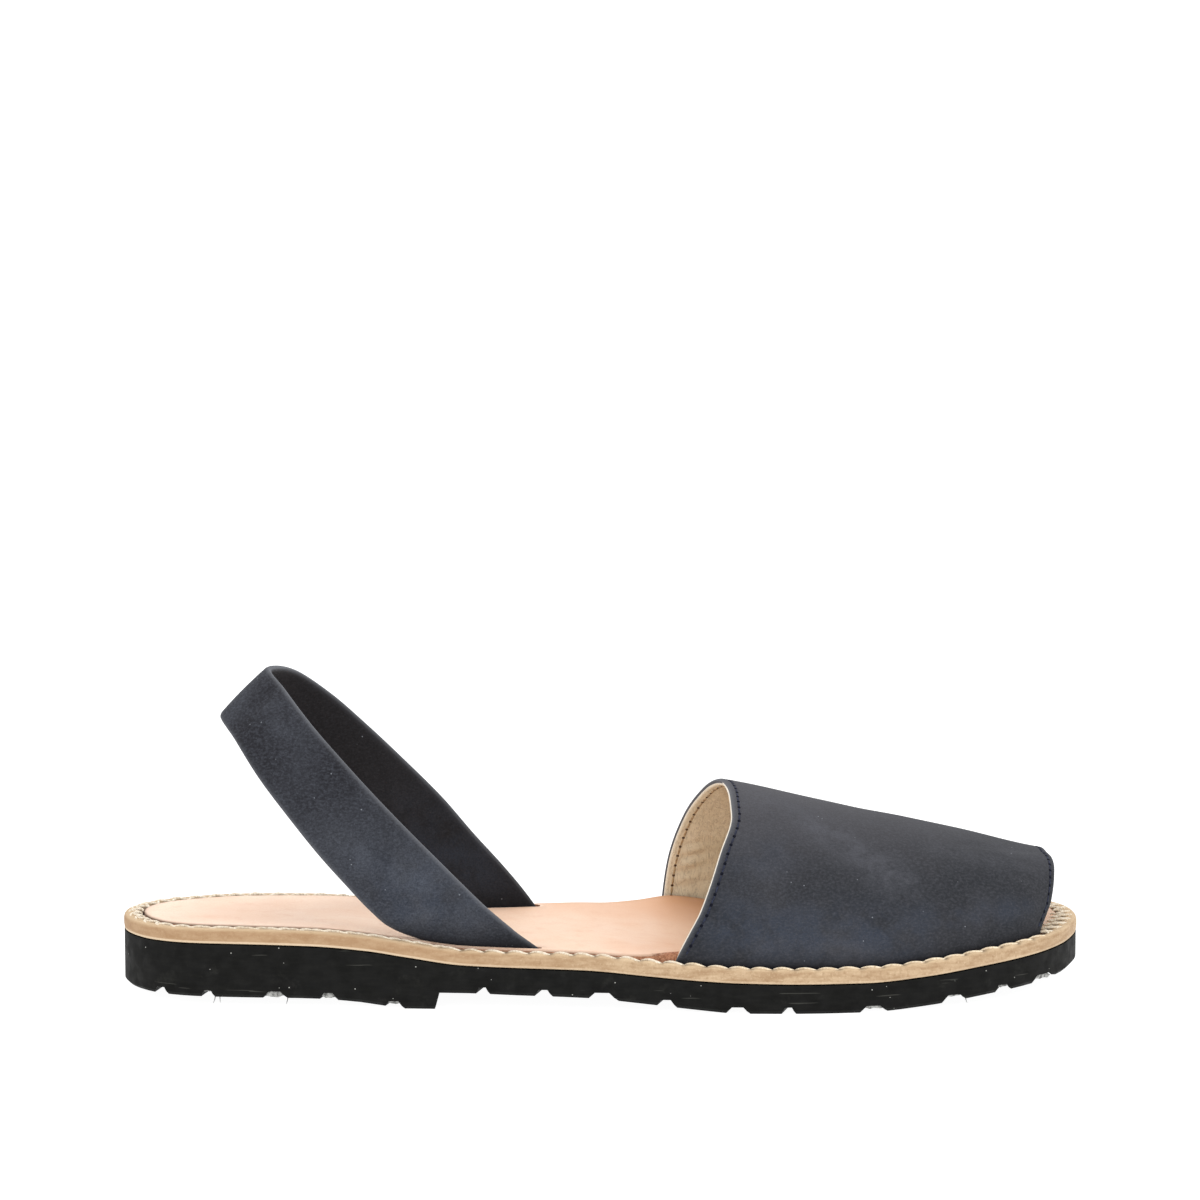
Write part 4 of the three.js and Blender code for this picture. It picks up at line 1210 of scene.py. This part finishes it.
def make_flash():
    corner = outsole_corners
    paths, radii = [], []
    t = np.linspace(0, 1, 7)
    for at, side, reach in FLASH:
        x = at * SOLE_LENGTH
        y_edge = side * float((lateral_share(at) if side < 0 else medial_share(at)) * BALL_WIDTH)
        low = corner[(np.abs(corner[:, 1] - y_edge) < 3) & (corner[:, 2] < corner[:, 2].min() + 6)]
        start = low[np.argmin(np.abs(low[:, 0] - x) + 4 * np.maximum(0, low[:, 2] - 0.3))]
        bend = rng.uniform(-1, 1, 2)
        along = start[0] + bend[0] * reach * 0.35 * t ** 2
        out = start[1] + side * (reach * t - 0.3)
        up = np.maximum(start[2] * (1 - 0.5 * t), 0.12) + 0.2 * np.sin(math.pi * t) * abs(bend[1])
        paths.append(np.stack([along, out, up], 1))
        radii.append(FLASH_RADIUS - 0.09 * t)
    points, faces = tubes(paths, radii, 5)
    settle(add_piece("rubber_flash", points, faces, [sole_rubber]), "sole_rubber")


make_outsole()
make_flash()
make_midsole()
make_whip_stitch()
make_insole()
make_vamp()
make_seams()
make_strap()
make_films()

# Floor, light and camera.

FLOOR_REACH = 30
WHITE = (1, 1, 1, 1)


def make_floor():
    mesh = bpy.data.meshes.new("floor")
    corners = [(FLOOR_REACH * x, FLOOR_REACH * y, 0) for x, y in ((-1, -1), (1, -1), (1, 1), (-1, 1))]
    mesh.from_pydata(corners, [], [(0, 1, 2, 3)])
    floor = bpy.data.objects.new("floor", mesh)
    bpy.context.scene.collection.objects.link(floor)
    look = Look("floor_paper", 0.9, Specular_IOR_Level=0.0)
    look.start(look.noise(900, 2), (150, 150, 150), (146, 146, 146))
    look.shader.inputs["Emission Color"].default_value = WHITE
    look.shader.inputs["Emission Strength"].default_value = 0.96
    mesh.materials.append(look.finish())


def add_light(name, place, aim, size, power):
    light = bpy.data.lights.new(name, "AREA")
    light.shape = "DISK"
    light.size = size
    light.energy = power
    lamp = bpy.data.objects.new(name, light)
    lamp.location = place
    lamp.rotation_euler = (Vector(aim) - Vector(place)).to_track_quat("-Z", "Y").to_euler()
    bpy.context.scene.collection.objects.link(lamp)


def make_camera():
    """A long lens low over the floor. The shifts are in the photo's own pixels."""
    turn, rise, away = math.radians(3.0), math.radians(10.3), 1.9
    photo_width, shift_x, shift_y = 1200, -4.0, 314.2
    target = Vector((0, 0, 0.020))
    back = Vector((-math.cos(rise) * math.sin(turn), -math.cos(rise) * math.cos(turn), math.sin(rise)))
    camera = bpy.data.objects.new("camera", bpy.data.cameras.new("camera"))
    camera.location = target + away * back
    camera.rotation_euler = (target - camera.location).to_track_quat("-Z", "Y").to_euler()
    camera.data.sensor_width = 36
    camera.data.lens = 205.1
    camera.data.shift_x = shift_x / photo_width
    camera.data.shift_y = shift_y / photo_width
    camera.data.clip_end = 100
    bpy.context.scene.collection.objects.link(camera)
    bpy.context.scene.camera = camera


make_floor()
add_light("overhead", (0.0, 0.1, 1.3), (0, 0, 0.03), 1.2, 7)
add_light("front", (-0.5, -1.5, 0.7), (0, 0, 0.03), 1.0, 4)
add_light("side", (1.2, -0.6, 0.8), (0, 0, 0.03), 0.9, 2)

world = bpy.data.worlds.new("studio")
world.use_nodes = True
background = world.node_tree.nodes["Background"]
background.inputs["Color"].default_value = WHITE
background.inputs["Strength"].default_value = 0.95
bpy.context.scene.world = world
bpy.context.scene.view_settings.view_transform = "Standard"
make_camera()
